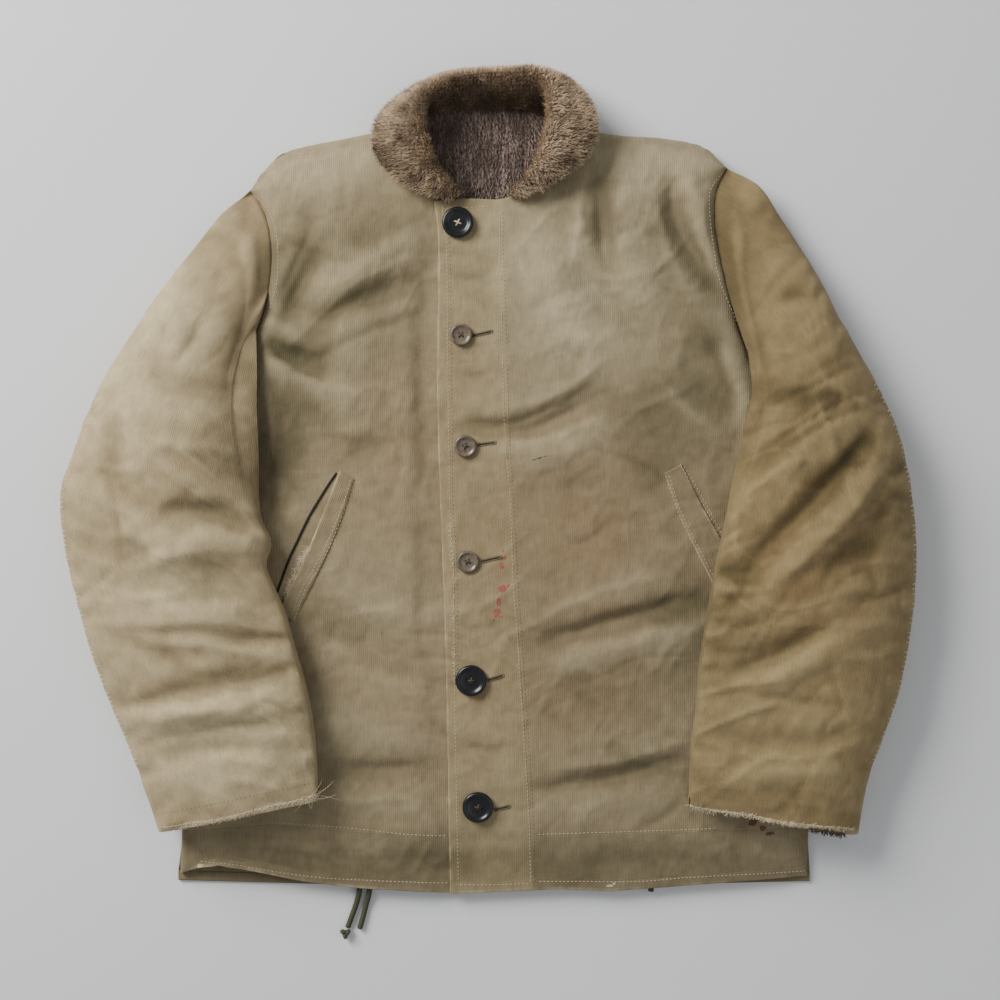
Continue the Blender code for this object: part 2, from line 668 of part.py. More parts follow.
def armhole_seam(top, side, low):
    """The border of the fronts that shows as the armhole seam, from the front underarm to the tip."""
    border = top[:, 0] if side == "right" else top[:, -1]
    border = border[ROWS["binding"] + ROWS["band"]:]
    first = np.array([np.interp(low, border[:, 1], border[:, k]) for k in range(3)])
    return np.vstack([first, border[border[:, 1] > low + 2.0]])


def straight(points, shares):
    """Places at the given shares of the length of the straight lines through the points."""
    run = np.concatenate([[0.0], np.cumsum(np.linalg.norm(np.diff(points[:, :2], axis=0), axis=1))])
    return np.column_stack([np.interp(shares * run[-1], run, points[:, k]) for k in range(3)])


def fanned_out(plan):
    """Evens out a plan at the underarm, where the armhole seam and the inner edge part in opposite ways."""
    plan = plan.copy()
    row, column = np.meshgrid(np.arange(1, FAN_ROWS), np.arange(1, FAN_COLUMNS), indexing="ij")
    share = np.exp(-(row**2 / 18.0 + column**2 / 9.0))[..., None]
    for _ in range(FAN_STEPS):
        around = (plan[:FAN_ROWS - 1, 1:FAN_COLUMNS] + plan[2:FAN_ROWS + 1, 1:FAN_COLUMNS]
                  + plan[1:FAN_ROWS, :FAN_COLUMNS - 1] + plan[1:FAN_ROWS, 2:FAN_COLUMNS + 1]) / 4
        inside = plan[1:FAN_ROWS, 1:FAN_COLUMNS]
        plan[1:FAN_ROWS, 1:FAN_COLUMNS] = inside + (around - inside) * share
    outward = math.copysign(FAN_PUSH, plan[SLEEVE_ROWS // 2, -1, 0] - plan[SLEEVE_ROWS // 2, 0, 0])
    plan[1:FAN_ROWS, 1:FAN_COLUMNS, 0] += outward * np.exp(-((row - 3) / 3.2) ** 2 - (column / 5.0) ** 4)
    return plan


def sleeve_plan(table, seam):
    """Plan and edge lines of a sleeve, row by row from the armhole, column by column outward."""
    stations = np.array(table, float)
    shares = np.linspace(0.0, 1.0, SLEEVE_ROWS + 1)
    outer = along(stations[:, 0:2], shares)
    inner = along(stations[:, 2:4], shares)
    knots = np.linspace(0.0, 1.0, len(stations))
    crown = np.interp(shares, knots, stations[:, 4])
    turn = np.linspace(0.0, math.pi, SLEEVE_COLUMNS + 1)
    share = ((1.0 - np.cos(turn)) / 2)[None, :, None]
    plan = inner[:, None, :] * (1 - share) + outer[:, None, :] * share
    # The first rows bend with the armhole seam, and the bend fades along the sleeve
    first = straight(seam, share[0, :, 0])
    bow = first[:, :2] - plan[0]
    fade = (1.0 - ease(shares / ARMHOLE_REACH))[:, None, None]
    return fanned_out(plan + bow[None] * fade), crown, turn, fade[:, 0, 0], first[:, 2]


def settled(heights):
    """Eases the steps in a grid of heights, never lowering a point."""
    smooth = heights.copy()
    for _ in range(4):
        padded = np.pad(smooth, 1, mode="edge")
        beside = (padded[:-2, 1:-1] + padded[2:, 1:-1] + padded[1:-1, :-2] + padded[1:-1, 2:]) / 4
        smooth = np.maximum(smooth, beside)
    return smooth


def build_sleeve(side, table, creases, seam, ground):
    """Top sleeve and under sleeve, sewn along the inner and the outer edge, and the pile in the cuff."""
    plan, crown, turn, fade, seam_height = sleeve_plan(table, seam)
    x, y = plan[..., 0], plan[..., 1]
    share = ((1.0 - np.cos(turn)) / 2)[None, :]
    below = np.array([[ground.over(px, py, UNDER_REACH) for px, py in row] for row in plan])
    below = settled(np.where(below > 0.0, below + BODY_CLEARANCE, 0.0))
    below[0] = (seam_height + SEAM_LIFT) * (1.0 - ease((share[0] - 0.15) / 0.4))
    inner_edge = below[:, 0] + SLEEVE_EDGE * (1 - fade)
    outer_edge = below[:, -1] + SLEEVE_EDGE * (1 - 0.6 * fade)
    middle = inner_edge[:, None] * (1 - share) + outer_edge[:, None] * share
    room = 1.0 + SLEEVE_ROOM * np.sin(turn)[None, :] ** 0.4 * (1 - fade[:, None])
    middle = np.maximum(middle, below + room)
    swell = np.sin(turn)[None, :] ** 0.72
    high = middle + (crown[:, None] - middle) * swell
    high = high + folds(x, y, creases) * np.sin(turn)[None, :] ** 0.5 * (1 - fade[:, None])
    near_seam = seam_height[None, :] + (crown[:, None] - crown[0]) * swell
    near_seam = np.maximum(near_seam, middle + CLOTH + 1.0)
    high = high * (1 - fade[:, None]) + fade[:, None] * near_seam
    flat = np.sin(turn)[None, :] ** 0.4
    low = middle + (below - middle) * flat

    # No sideways inset where the grid is narrow, at the underarm
    row, column = np.meshgrid(np.arange(SLEEVE_ROWS + 1), np.arange(SLEEVE_COLUMNS + 1), indexing="ij")
    corner = np.exp(-((row / FAN_ROWS) ** 4 + (column / FAN_COLUMNS) ** 4))[..., None]
    corner[:, 0] = 0.0
    # Square to the inner edge on the inner half of the sleeve, and to the outer edge on the other
    edges = np.gradient(plan[:, [0, -1]], axis=0)
    edges /= np.linalg.norm(edges, axis=-1, keepdims=True)
    square = np.stack([-edges[..., 1], edges[..., 0]], axis=-1)
    square *= np.sign((square * (plan[:, [-1, 0]] - plan[:, [0, -1]])[SLEEVE_ROWS // 2]).sum(-1))[..., None]
    inward = np.where((turn < math.pi / 2)[None, :, None], square[:, :1], square[:, 1:])

    def section(inset, face):
        """One face of the sleeve, drawn in by an inset: the top or the underside."""
        drawn = plan + inward * inset * (np.cos(turn) ** 2)[None, :, None] * (1 - corner)
        sunk = inset * np.sin(turn)[None, :] ** 0.5
        if face == "top":
            z = np.maximum(high - sunk, middle + SEAM_GAP / 2)
        else:
            z = np.minimum(low + sunk, middle - SEAM_GAP / 2)
        return np.dstack([drawn, z])

    top_outer, top_inner = section(0.0, "top"), section(CLOTH, "top")
    under_outer, under_inner = section(0.0, "under"), section(CLOTH, "under")
    away = -0.35 if side == "right" else 0.35
    for grid in (top_outer, top_inner, under_outer, under_inner):
        grid[:3, :, 0] += away * np.array([1.0, 0.5, 0.2])[:, None]
    for grid in (top_inner, under_inner):
        grid[0, :, :2] = (top_outer if grid is top_inner else under_outer)[0, :, :2]
    top_inner[0, :, 2] = top_outer[0, :, 2] - CLOTH
    wall("sleeve_top_" + side, top_outer, top_inner, SHELL_SLEEVE)
    wall("sleeve_under_" + side, under_outer, under_inner, SHELL_SLEEVE)

    rows = np.s_[-CUFF_LINING_ROWS - 1:]
    outside = CLOTH + 5 * SEAM_GAP
    ring_outer = np.concatenate([section(outside, "top")[rows],
                                 section(outside, "under")[rows, -2:0:-1]], axis=1)
    ring_inner = np.concatenate([section(outside + CUFF_PILE, "top")[rows],
                                 section(outside + CUFF_PILE, "under")[rows, -2:0:-1]], axis=1)
    for ring in (ring_outer, ring_inner):
        ring[-1] += (ring[-2] - ring[-1]) * CUFF_RECESS
    wall("cuff_lining_" + side, ring_outer, ring_inner, PILE_LINING, ring=True, turned=SLEEVE_COLUMNS)


def build_collar(ground):
    """Pile collar over its shell under collar, swept round the neck."""
    table = np.array(COLLAR, float)
    shares = np.linspace(0.0, 1.0, COLLAR_COLUMNS + 1)
    path = along(table, shares)
    foot, roll, fall = path[:, 0:2], path[:, 2:5], path[:, 5:8]
    puff = path[:, 8]
    outward = fall[:, :2] - roll[:, :2]
    width = np.linalg.norm(outward, axis=1, keepdims=True)
    outward /= width
    narrow = np.clip(width / COLLAR_NARROW, 0.15, 1.0)
    foot_height = []
    for place, direction in zip(foot, outward):
        reach = [ground.over(*(place + direction * step), 5.0) for step in (0.0, 4.0, 8.0)]
        foot_height.append(max(reach) + SEAM_GAP)
    foot_height = np.array(foot_height)

    def face(depth):
        """The collar's face at a depth below its pile."""
        out = outward * depth * narrow
        points = []
        points.append(np.column_stack([foot + out, foot_height]))
        middle = foot * 0.45 + roll[:, :2] * 0.55 + out - outward * 2.0
        points.append(np.column_stack([middle, foot_height * 0.45 + (roll[:, 2] - 3) * 0.55]))
        points.append(np.column_stack([roll[:, :2] + out, roll[:, 2] - 3 - 0.25 * depth]))
        crown = roll[:, :2] + (fall[:, :2] - roll[:, :2]) * 0.28 + out * 0.3
        points.append(np.column_stack([crown, roll[:, 2] + puff - depth]))
        lobe = roll[:, :2] + (fall[:, :2] - roll[:, :2]) * 0.68
        lobe_height = roll[:, 2] * 0.45 + fall[:, 2] * 0.55 + puff * 0.8 - depth
        points.append(np.column_stack([lobe, lobe_height]))
        points.append(np.column_stack([fall[:, :2] - out * 0.2, fall[:, 2] - depth * 0.9]))
        section = np.stack(points)
        smooth = [along(section[:, k], np.linspace(0.0, 1.0, COLLAR_ROWS + 1))
                  for k in range(section.shape[1])]
        sheet = np.stack(smooth, axis=1)
        for _ in range(COLLAR_EASING):
            sheet[:, 1:-1] = sheet[:, 1:-1] / 2 + (sheet[:, :-2] + sheet[:, 2:]) / 4
        return sheet

    def clear(grid, margin):
        """Lifts the points that would touch what the collar lies on."""
        for row in grid[2:]:
            for point in row:
                point[2] = max(point[2], ground.over(point[0], point[1], 6.0) + margin, 0.6)
        return grid

    faces = [face(0.0), face(COLLAR_PILE)]
    faces.append(lowered(faces[1], SEAM_GAP))
    under = clear(lowered(faces[2], COLLAR_SHELL), 2 * SEAM_GAP)
    faces[2][2:, :, 2] = np.maximum(faces[2][2:, :, 2], under[2:, :, 2] + COLLAR_SHELL * 0.8)
    faces[1][2:, :, 2] = np.maximum(faces[1][2:, :, 2], faces[2][2:, :, 2] + SEAM_GAP)
    faces[0][2:, :, 2] = np.maximum(faces[0][2:, :, 2], faces[1][2:, :, 2] + COLLAR_PILE * 0.6)
    wall("collar", faces[0], faces[1], PILE_COLLAR)
    # The stand's own shell is sewn inside the neck, so only the fall has an under collar
    wall("collar_under", faces[2][COLLAR_FALL_ROW:, :-COLLAR_BARE_COLUMNS], under[COLLAR_FALL_ROW:, :-COLLAR_BARE_COLUMNS], SHELL_FRONT)


def build_welt(name, table, ground):
    """A pocket welt that lies on its front."""
    rows = np.array(table, float)
    shares = np.linspace(0.0, 1.0, 9)
    stitched, mouth = along(rows[:, 0:2], shares), along(rows[:, 2:4], shares)
    across = np.linspace(0.0, 1.0, 4)[None, :, None]
    plan = stitched[:, None] * (1 - across) + mouth[:, None] * across
    low = np.array([[ground.over(x, y, 7.0) for x, y in row] for row in plan]) + SEAM_GAP
    bottom = np.dstack([plan, low])
    wall(name, lowered(bottom, -WELT), bottom, SHELL_FRONT)


def build_button(name, x, y, radius, thickness, colour, ground):
    """A four-hole button with a raised rim, lying on the placket."""
    shape = bmesh.new()
    rings = []
    for share, height in BUTTON_PROFILE:
        ring = []
        for k in range(BUTTON_SIDES):
            angle = 2 * math.pi * k / BUTTON_SIDES
            ring.append(shape.verts.new((radius * share * math.cos(angle) * MM,
                                         radius * share * math.sin(angle) * MM, height * thickness * MM)))
        rings.append(ring)
    for low, high in zip(rings, rings[1:]):
        for k in range(BUTTON_SIDES):
            j = (k + 1) % BUTTON_SIDES
            shape.faces.new((low[k], low[j], high[j], high[k]))
    shape.faces.new(rings[0][::-1])
    shape.faces.new(rings[-1])
    mesh = bpy.data.meshes.new(name)
    shape.to_mesh(mesh)
    shape.free()
    button = add(name, mesh, colour, 0.3)
    resting = ground.over(x, y, radius * 0.8) + SEAM_GAP
    button.location = (x * MM, y * MM, resting * MM)

    drill = bmesh.new()
    for across in (-1, 1):
        for up in (-1, 1):
            made = bmesh.ops.create_cone(drill, cap_ends=True, segments=HOLE_SIDES,
                                         radius1=radius * HOLE_RADIUS * MM,
                                         radius2=radius * HOLE_RADIUS * MM, depth=4 * thickness * MM)
            shift = (across * radius * HOLE_PLACE * MM, up * radius * HOLE_PLACE * MM, 0.0)
            bmesh.ops.translate(drill, verts=made["verts"], vec=shift)
    cutter_mesh = bpy.data.meshes.new(name + "_holes")
    drill.to_mesh(cutter_mesh)
    drill.free()
    cutter = bpy.data.objects.new(name + "_holes", cutter_mesh)
    bpy.context.scene.collection.objects.link(cutter)
    cutter.parent = button
    cutter.hide_render = True
    cutter.display_type = "WIRE"
    holes = button.modifiers.new("holes", "BOOLEAN")
    holes.operation = "DIFFERENCE"
    holes.solver = "EXACT"
    holes.object = cutter


def build_cord(name, route):
    """A drawcord's free end, as a round tube."""
    count = max(4, int(np.linalg.norm(np.diff(np.array(route), axis=0), axis=1).sum() / 9))
    points = along(route, np.linspace(0.0, 1.0, count + 1)) * MM
    curve = bpy.data.curves.new(name, "CURVE")
    curve.dimensions = "3D"
    curve.bevel_depth = CORD_RADIUS * MM
    curve.bevel_resolution = 2
    curve.use_fill_caps = True
    spline = curve.splines.new("POLY")
    spline.points.add(len(points) - 1)
    for place, point in zip(spline.points, points):
        place.co = (*point, 1.0)
    piece = bpy.data.objects.new(name, curve)
    bpy.context.scene.collection.objects.link(piece)
    curve.materials.append(material(name, CORD_OLIVE, 0.85))


def build_knot():
    """The knot at the end of the longer cord."""
    shape = bmesh.new()
    bmesh.ops.create_icosphere(shape, subdivisions=2, radius=KNOT_RADIUS * MM)
    mesh = bpy.data.meshes.new("drawcord_knot")
    shape.to_mesh(mesh)
    shape.free()
    knot = add("drawcord_knot", mesh, CORD_OLIVE)
    knot.location = tuple(value * MM for value in CORD_KNOT)


def main():
    for item in list(bpy.data.objects):
        bpy.data.objects.remove(item)
    plan = body_grid()
    fronts, top = build_fronts(plan)
    build_back(plan)
    ground = Top(fronts)
    neck_ground = Top(fronts + [bpy.data.objects["lining_back"], bpy.data.objects["back"]])
    build_collar(neck_ground)
    seam_right = armhole_seam(top, "right", SLEEVE_RIGHT[0][3])
    seam_left = armhole_seam(top, "left", SLEEVE_LEFT[0][3])
    build_sleeve("right", SLEEVE_RIGHT, SLEEVE_RIGHT_FOLDS, seam_right, ground)
    build_sleeve("left", SLEEVE_LEFT, SLEEVE_LEFT_FOLDS, seam_left, ground)
    build_welt("pocket_welt_right", WELT_RIGHT, ground)
    build_welt("pocket_welt_left", WELT_LEFT, ground)
    for number, (x, y, radius, thickness) in enumerate(BUTTONS, 1):
        colour = BUTTON_BLACK if radius > 12 else BUTTON_BROWN
        build_button("button_%d" % number, x, y, radius, thickness, colour, ground)
    build_cord("drawcord_long", CORD_LONG)
    build_cord("drawcord_short", CORD_SHORT)
    build_cord("drawcord_stub", CORD_STUB)
    build_knot()


main()
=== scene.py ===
"""Looks of a short deck jacket that lies flat on its back, buttoned, with its sleeves beside the body.

Tables hold millimetres. +X is the right of the picture, which is the wearer's left, +Y runs to the
collar and +Z is up. The cloth follows the outlines and main folds of the solids in the frame. Its folds
are deeper than theirs, and it has finer creases that they don't have.
"""

import math

import bmesh
import bpy
import numpy as np
from mathutils import Matrix, Vector
from mathutils.bvhtree import BVHTree


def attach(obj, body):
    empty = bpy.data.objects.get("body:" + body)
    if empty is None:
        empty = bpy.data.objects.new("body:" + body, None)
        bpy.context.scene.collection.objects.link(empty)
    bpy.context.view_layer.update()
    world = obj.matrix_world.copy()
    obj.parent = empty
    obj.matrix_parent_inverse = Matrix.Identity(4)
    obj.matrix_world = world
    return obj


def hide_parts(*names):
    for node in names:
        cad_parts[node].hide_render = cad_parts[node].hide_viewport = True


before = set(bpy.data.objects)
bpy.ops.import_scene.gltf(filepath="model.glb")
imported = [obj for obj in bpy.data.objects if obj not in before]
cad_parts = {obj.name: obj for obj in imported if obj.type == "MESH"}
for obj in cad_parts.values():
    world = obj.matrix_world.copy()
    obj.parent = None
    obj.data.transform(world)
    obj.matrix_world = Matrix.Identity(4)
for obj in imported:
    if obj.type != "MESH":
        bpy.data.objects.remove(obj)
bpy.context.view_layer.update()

MM = 0.001

# Thicknesses, gaps and widths that the frame's solids have too, in millimetres
CLOTH = 3.0
SEAM_GAP = 0.3
BINDING = 9.0
LAP_STEP = CLOTH + SEAM_GAP
LAP_RAMP = 30.0
LOWEST_TOP = 17.6
BODY_CLEARANCE = 1.0
UNDER_REACH = 23.0
SEAM_LIFT = 2.5
SLEEVE_ROOM = 10.0
SLEEVE_EDGE = 17.0
COLLAR_PILE = 6.0
COLLAR_NARROW = 26.0
FAN_PUSH = 14.0

# Cells, rows and rounds of easing of the sleeves' and the collar's grids
CURVE_STEPS = 14
SLEEVE_COLUMNS = 11
SLEEVE_ROWS = 20
COLLAR_COLUMNS = 30
COLLAR_ROWS = 8
COLLAR_EASING = 3
FAN_ROWS = 8
FAN_COLUMNS = 7
FAN_STEPS = 40

# Shares of a sleeve's length: where the armhole's bend fades, and the run of its seam threads
ARMHOLE_REACH = 0.22
SEAM_STITCH_START = 0.36
SEAM_STITCH_END = 0.90

# Only in the cloth: millimetres, times the depth of the solids' folds, and a row of the finer collar
BACK_INSET = 5.0
BORDER_BLEND = 7.0
FOLD_DEPTH = 1.5
SLEEVE_FOLD_DEPTH = 1.35
COLLAR_FALL_ROW = 8

# Wear and painted light on the folds: cells that a fold is compared over, paler ridges (wear and painted
# highlight), darker troughs (painted shade)
FRONT_RELIEF = (9, 0.40, 0.33)
SLEEVE_RELIEF = (6, 0.45, 0.40)

COLLAR_STRANDS = (15000, 50000)
NECK_STRANDS = (9000, 26000)

# Camera: metres, and millimetres of lens and sensor
CAMERA_PLACE = (0.011, -0.0195, 1.45)
CAMERA_LENS = 56.8
CAMERA_SENSOR = 36.0

# Lamps: name, place and size in metres, power; and the sky
LAMPS = [
    ("key", (-1.8, 1.45, 1.5), 1.4, 112.0),
    ("fill", (1.7, -0.6, 2.4), 2.6, 12.0),
]
SKY_COLOUR = (0.90, 0.94, 1.0)
SKY_STRENGTH = 0.34
FLOOR_REACH = 6.0

# Upright seams of the fronts from the hem up, and the armholes from the underarm up: x, y
SIDE_RIGHT = [(-280, -362), (-274, -148), (-267, 8), (-254, 66)]
ARMHOLE_RIGHT = [(-232, 102), (-209, 134), (-197, 175), (-196, 215), (-204, 244), (-216, 262)]
SIDE_LEFT = [(291, -366), (294, -239), (293, -74), (284, 74)]
ARMHOLE_LEFT = [(268, 83), (242, 102), (225, 141), (212, 188), (205, 229), (207, 260), (217, 283)]
PLACKET_EDGE = [(-34, -378), (-37, -182), (-41, -56), (-45, 71), (-44, 206), (-48, 250)]
LAP_EDGE = [(11, -377), (10, 0), (8, 251)]
PLACKET_SEAM = [(42, -374), (34, -233), (25, -92), (18, 44), (15, 188), (14, 252)]

# Level seams of the fronts and the top edges, in the direction of +X: x, y
HEM = [(-290, -364), (-264, -354), (-245, -351), (-220, -355), (-171, -366), (-116, -373), (-33, -378),
       (65, -374), (111, -376), (193, -370), (300, -362)]
BAND_SEAM = [(-290, -321), (-195, -313), (-134, -320), (-33, -329), (42, -328), (156, -323), (300, -315)]
TOP_RIGHT = [(-216, 262), (-203, 281), (-183, 298), (-135, 309), (-80, 316), (-72, 301), (-63, 280),
             (-45, 262), (-48, 250)]
TOP_LAP = [(-48, 250), (-20, 252), (8, 251)]
TOP_EDGE = [(8, 251), (14, 252)]
TOP_LEFT = [(14, 252), (45, 261), (62, 280), (71, 300), (75, 317), (116, 313), (162, 310), (196, 302),
            (217, 283)]
BACK_NECK = [(76, 322), (48, 339), (-3, 340), (-53, 337), (-80, 322)]
BACK_HEM = [(-284, -368), (-136, -372), (11, -374), (158, -372), (295, -369)]

# How high the fronts' outer face stands at their border, and how wide its rounding is
BORDER = [
    # x, y, edge height, rounding width
    (-280, -362, 9, 34),
    (-274, -148, 7, 42),
    (-267, 8, 7, 42),
    (-254, 66, 8, 42),
    (-232, 102, 14, 40),
    (-209, 134, 23, 34),
    (-197, 175, 26, 30),
    (-196, 215, 24, 32),
    (-204, 244, 18, 38),
    (-216, 262, 13, 42),
    (-181, 296, 9, 44),
    (-135, 309, 9, 46),
    (-80, 316, 18, 44),
    (-72, 301, 21, 34),
    (-63, 280, 27, 24),
    (-45, 262, 28, 20),
    (14, 252, 28, 20),
    (62, 280, 28, 24),
    (71, 300, 22, 34),
    (75, 317, 18, 44),
    (116, 313, 9, 46),
    (162, 309, 9, 44),
    (194, 301, 9, 44),
    (217, 283, 13, 42),
    (207, 260, 18, 36),
    (205, 229, 23, 32),
    (212, 188, 26, 30),
    (225, 141, 24, 34),
    (242, 102, 19, 38),
    (268, 83, 13, 40),
    (284, 74, 8, 42),
    (293, -74, 7, 42),
    (294, -239, 7, 42),
    (291, -366, 7, 40),
    (255, -367, 11, 30),
    (100, -376, 12, 24),
    (-116, -374, 13, 24),
    (-200, -358, 16, 22),
    (-245, -351, 21, 22),
    (-268, -355, 16, 26),
]

# Height of the fronts over both linings, up the middle of the body
PLATEAU = [
    # y, height
    (-380, 12.5),
    (-345, 14.5),
    (-318, 19.5),
    (-300, 22.0),
    (-240, 26.0),
    (-100, 29.0),
    (60, 31.0),
    (200, 30.0),
    (260, 29.0),
    (330, 26.0),
]

# Ridges and troughs of the fronts, each along a bend through three points. A sharp one has a crest.
BODY_FOLDS = [
    # x, y at its start, middle and end, half width, height, sharpness
    (-182, 128, -105, 193, -54, 218, 11, 2.5, 0.3),
    (-169, 141, -105, 164, -54, 183, 12, -4.0, 0.2),
    (-148, 213, -169, 175, -190, 136, 10, -3.5, 0.3),
    (-203, 126, -179, 109, -139, 92, 9, -4.0, 0.4),
    (-203, 116, -169, 90, -115, 70, 12, 3.0, 0.2),
    (-128, 18, -110, 26, -92, 32, 9, -2.0, 0.4),
    (-156, -116, -106, -142, -53, -173, 16, -3.5, 0.0),
    (-156, -263, -97, -270, -40, -263, 12, -2.0, 0.2),
    (-169, -200, -115, -218, -61, -231, 20, 2.0, 0.0),
    (-142, 250, -124, 160, -122, 52, 26, 2.5, 0.0),
    (-21, 44, 39, 45, 106, 76, 10, -5.0, 0.4),
    (11, 28, 56, 22, 110, 44, 13, 3.0, 0.2),
    (62, 187, 101, 160, 152, 122, 14, -2.5, 0.0),
    (101, 289, 106, 232, 107, 173, 10, -3.0, 0.2),
    (166, 271, 171, 226, 211, 168, 11, -4.0, 0.3),
    (182, 278, 196, 224, 222, 160, 10, 3.0, 0.2),
    (47, 232, 65, 160, 75, 106, 26, 3.0, 0.0),
    (43, -148, 110, -132, 191, -110, 12, -4.0, 0.2),
    (52, -168, 119, -154, 196, -129, 13, 2.5, 0.2),
    (45, -278, 110, -271, 179, -252, 11, -3.0, 0.3),
    (119, 268, 137, 196, 137, 124, 20, 2.5, 0.0),
    (214, 160, 232, 70, 240, 8, 12, 2.5, 0.2),
]

# Finer creases of the fronts, in the same form as the folds
BODY_CREASES = [
    (-178, 120, -120, 172, -60, 204, 4, 1.6, 0.6),
    (-172, 98, -118, 128, -58, 150, 5, -1.8, 0.6),
    (-196, 112, -150, 88, -120, 84, 4, -2.0, 0.7),
    (-190, 160, -172, 196, -158, 232, 5, -2.0, 0.6),
    (-206, 92, -196, 60, -194, 18, 5, 2.0, 0.6),
    (-140, 40, -118, 34, -96, 36, 4, -1.4, 0.7),
    (-60, 180, -62, 60, -58, -10, 9, -2.2, 0.3),
    (-58, -30, -60, -110, -54, -190, 8, -1.8, 0.3),
    (-150, -140, -110, -152, -64, -188, 5, -2.0, 0.6),
    (-160, -255, -110, -262, -50, -258, 5, -1.8, 0.6),
    (-158, -285, -120, -292, -60, -286, 4, 1.2, 0.5),
    (-23, 50, 30, 52, 100, 86, 5, -2.6, 0.7),
    (0, 40, 50, 34, 104, 56, 5, 2.0, 0.6),
    (16, 62, 60, 74, 112, 110, 4, 1.2, 0.6),
    (66, 196, 100, 168, 140, 138, 5, -1.8, 0.6),
    (96, 286, 101, 240, 104, 196, 4, -1.8, 0.6),
    (84, 280, 84, 236, 78, 190, 5, 1.6, 0.4),
    (164, 276, 170, 232, 206, 176, 5, -2.2, 0.6),
    (150, 262, 160, 214, 196, 150, 6, 1.8, 0.4),
    (200, 268, 196, 232, 204, 196, 4, 1.6, 0.6),
    (196, 130, 214, 90, 226, 50, 6, -2.4, 0.5),
    (150, 90, 180, 62, 214, 30, 6, 1.8, 0.4),
    (120, 20, 150, 6, 168, -8, 5, -1.4, 0.6),
    (80, -60, 96, -52, 108, -40, 4, -1.4, 0.7),
    (43, -152, 100, -132, 190, -104, 5, -2.2, 0.6),
    (60, -120, 110, -100, 170, -84, 5, 1.4, 0.5),
    (44, -280, 110, -272, 178, -250, 5, -2.2, 0.6),
    (60, -262, 120, -256, 176, -236, 5, 1.6, 0.5),
    (136, -318, 160, -306, 178, -290, 5, -1.8, 0.6),
    (100, -240, 140, -262, 178, -270, 4, -1.4, 0.7),
    (-20, -240, 0, -246, 26, -240, 4, -1.4, 0.6),
    (-30, 96, -10, 92, 8, 98, 4, -1.2, 0.6),
    (-32, 186, -14, 180, 8, 188, 4, -1.3, 0.6),
    (-28, -130, -8, -136, 20, -128, 4, -1.4, 0.6),
]

# Sleeves from the armhole to the cuff. The outer edge is over the floor, the inner edge over the body.
SLEEVE_RIGHT = [
    # outer x, outer y, inner x, inner y, height of the crown
    (-217, 262, -207, 135, 27),
    (-240, 240, -206, 119, 38),
    (-265, 212, -205, 104, 48),
    (-291, 177, -205, 83, 57),
    (-316, 140, -205, 61, 64),
    (-339, 103, -204, 37, 69),
    (-357, 69, -203, 14, 72),
    (-373, 26, -203, -11, 74),
    (-386, -12, -202, -33, 72),
    (-385, -44, -192, -58, 66),
    (-379, -79, -196, -82, 68),
    (-369, -117, -182, -113, 70),
    (-357, -160, -170, -154, 68),
    (-342, -201, -160, -190, 64),
    (-324, -242, -154, -225, 62),
    (-310, -279, -152, -257, 57),
    (-296, -317, -151, -287, 50),
]
SLEEVE_LEFT = [
    # outer x, outer y, inner x, inner y, height of the crown
    (219, 283, 237, 116, 27),
    (245, 266, 238, 90, 38),
    (270, 232, 237, 77, 48),
    (295, 190, 233, 63, 56),
    (318, 144, 229, 49, 63),
    (340, 106, 226, 32, 68),
    (360, 67, 221, 13, 72),
    (375, 26, 216, -9, 74),
    (384, -22, 211, -37, 71),
    (387, -69, 204, -70, 70),
    (385, -110, 198, -102, 70),
    (380, -151, 192, -138, 69),
    (372, -189, 187, -173, 66),
    (362, -221, 185, -206, 64),
    (350, -253, 181, -236, 61),
    (341, -285, 180, -264, 56),
    (336, -321, 179, -292, 50),
]
SLEEVE_RIGHT_FOLDS = [
    # x, y at its start, middle and end, half width, height, sharpness
    (-211, 250, -228, 200, -250, 150, 9, -3.0, 0.4),
    (-288, 158, -272, 141, -253, 135, 10, 3.5, 0.3),
    (-334, 68, -324, 16, -309, -44, 12, -3.5, 0.2),
    (-316, -39, -284, -63, -250, -97, 10, 4.0, 0.5),
    (-286, -28, -247, -28, -205, -46, 9, -5.5, 0.5),
    (-300, -72, -247, -58, -200, -60, 9, 4.0, 0.3),
    (-329, -199, -250, -186, -172, -170, 11, -6.5, 0.5),
    (-323, -216, -248, -204, -165, -190, 12, 5.0, 0.3),
    (-225, -140, -198, -139, -172, -140, 9, -3.5, 0.4),
    (-296, -107, -252, -118, -198, -107, 12, 3.5, 0.2),
    (-296, 95, -261, 81, -230, 86, 14, -3.5, 0.2),
    (-340, -134, -296, -151, -244, -156, 11, -3.5, 0.3),
    (-248, 156, -222, 112, -210, 51, 12, 4.0, 0.3),
    (-296, -248, -239, -241, -165, -235, 10, -3.0, 0.4),
    (-329, -203, -250, -190, -172, -174, 4, -2.6, 0.7),
    (-316, -43, -284, -67, -250, -101, 4, 2.2, 0.7),
    (-286, -32, -247, -33, -205, -51, 4, -2.8, 0.7),
    (-300, -76, -247, -64, -200, -66, 4, 2.0, 0.6),
    (-340, 62, -300, 22, -250, -8, 4, 1.6, 0.7),
    (-310, -236, -250, -222, -172, -212, 4, -2.0, 0.6),
    (-225, -144, -198, -143, -172, -144, 4, -1.8, 0.6),
    (-350, 20, -330, -10, -322, -60, 4, -2.0, 0.6),
    (-250, 150, -262, 120, -280, 96, 4, -1.8, 0.6),
    (-300, 130, -280, 112, -256, 104, 4, 1.6, 0.6),
    (-355, -90, -310, -104, -262, -100, 4, 1.6, 0.6),
    (-345, -122, -300, -134, -250, -136, 4, -1.8, 0.6),
]
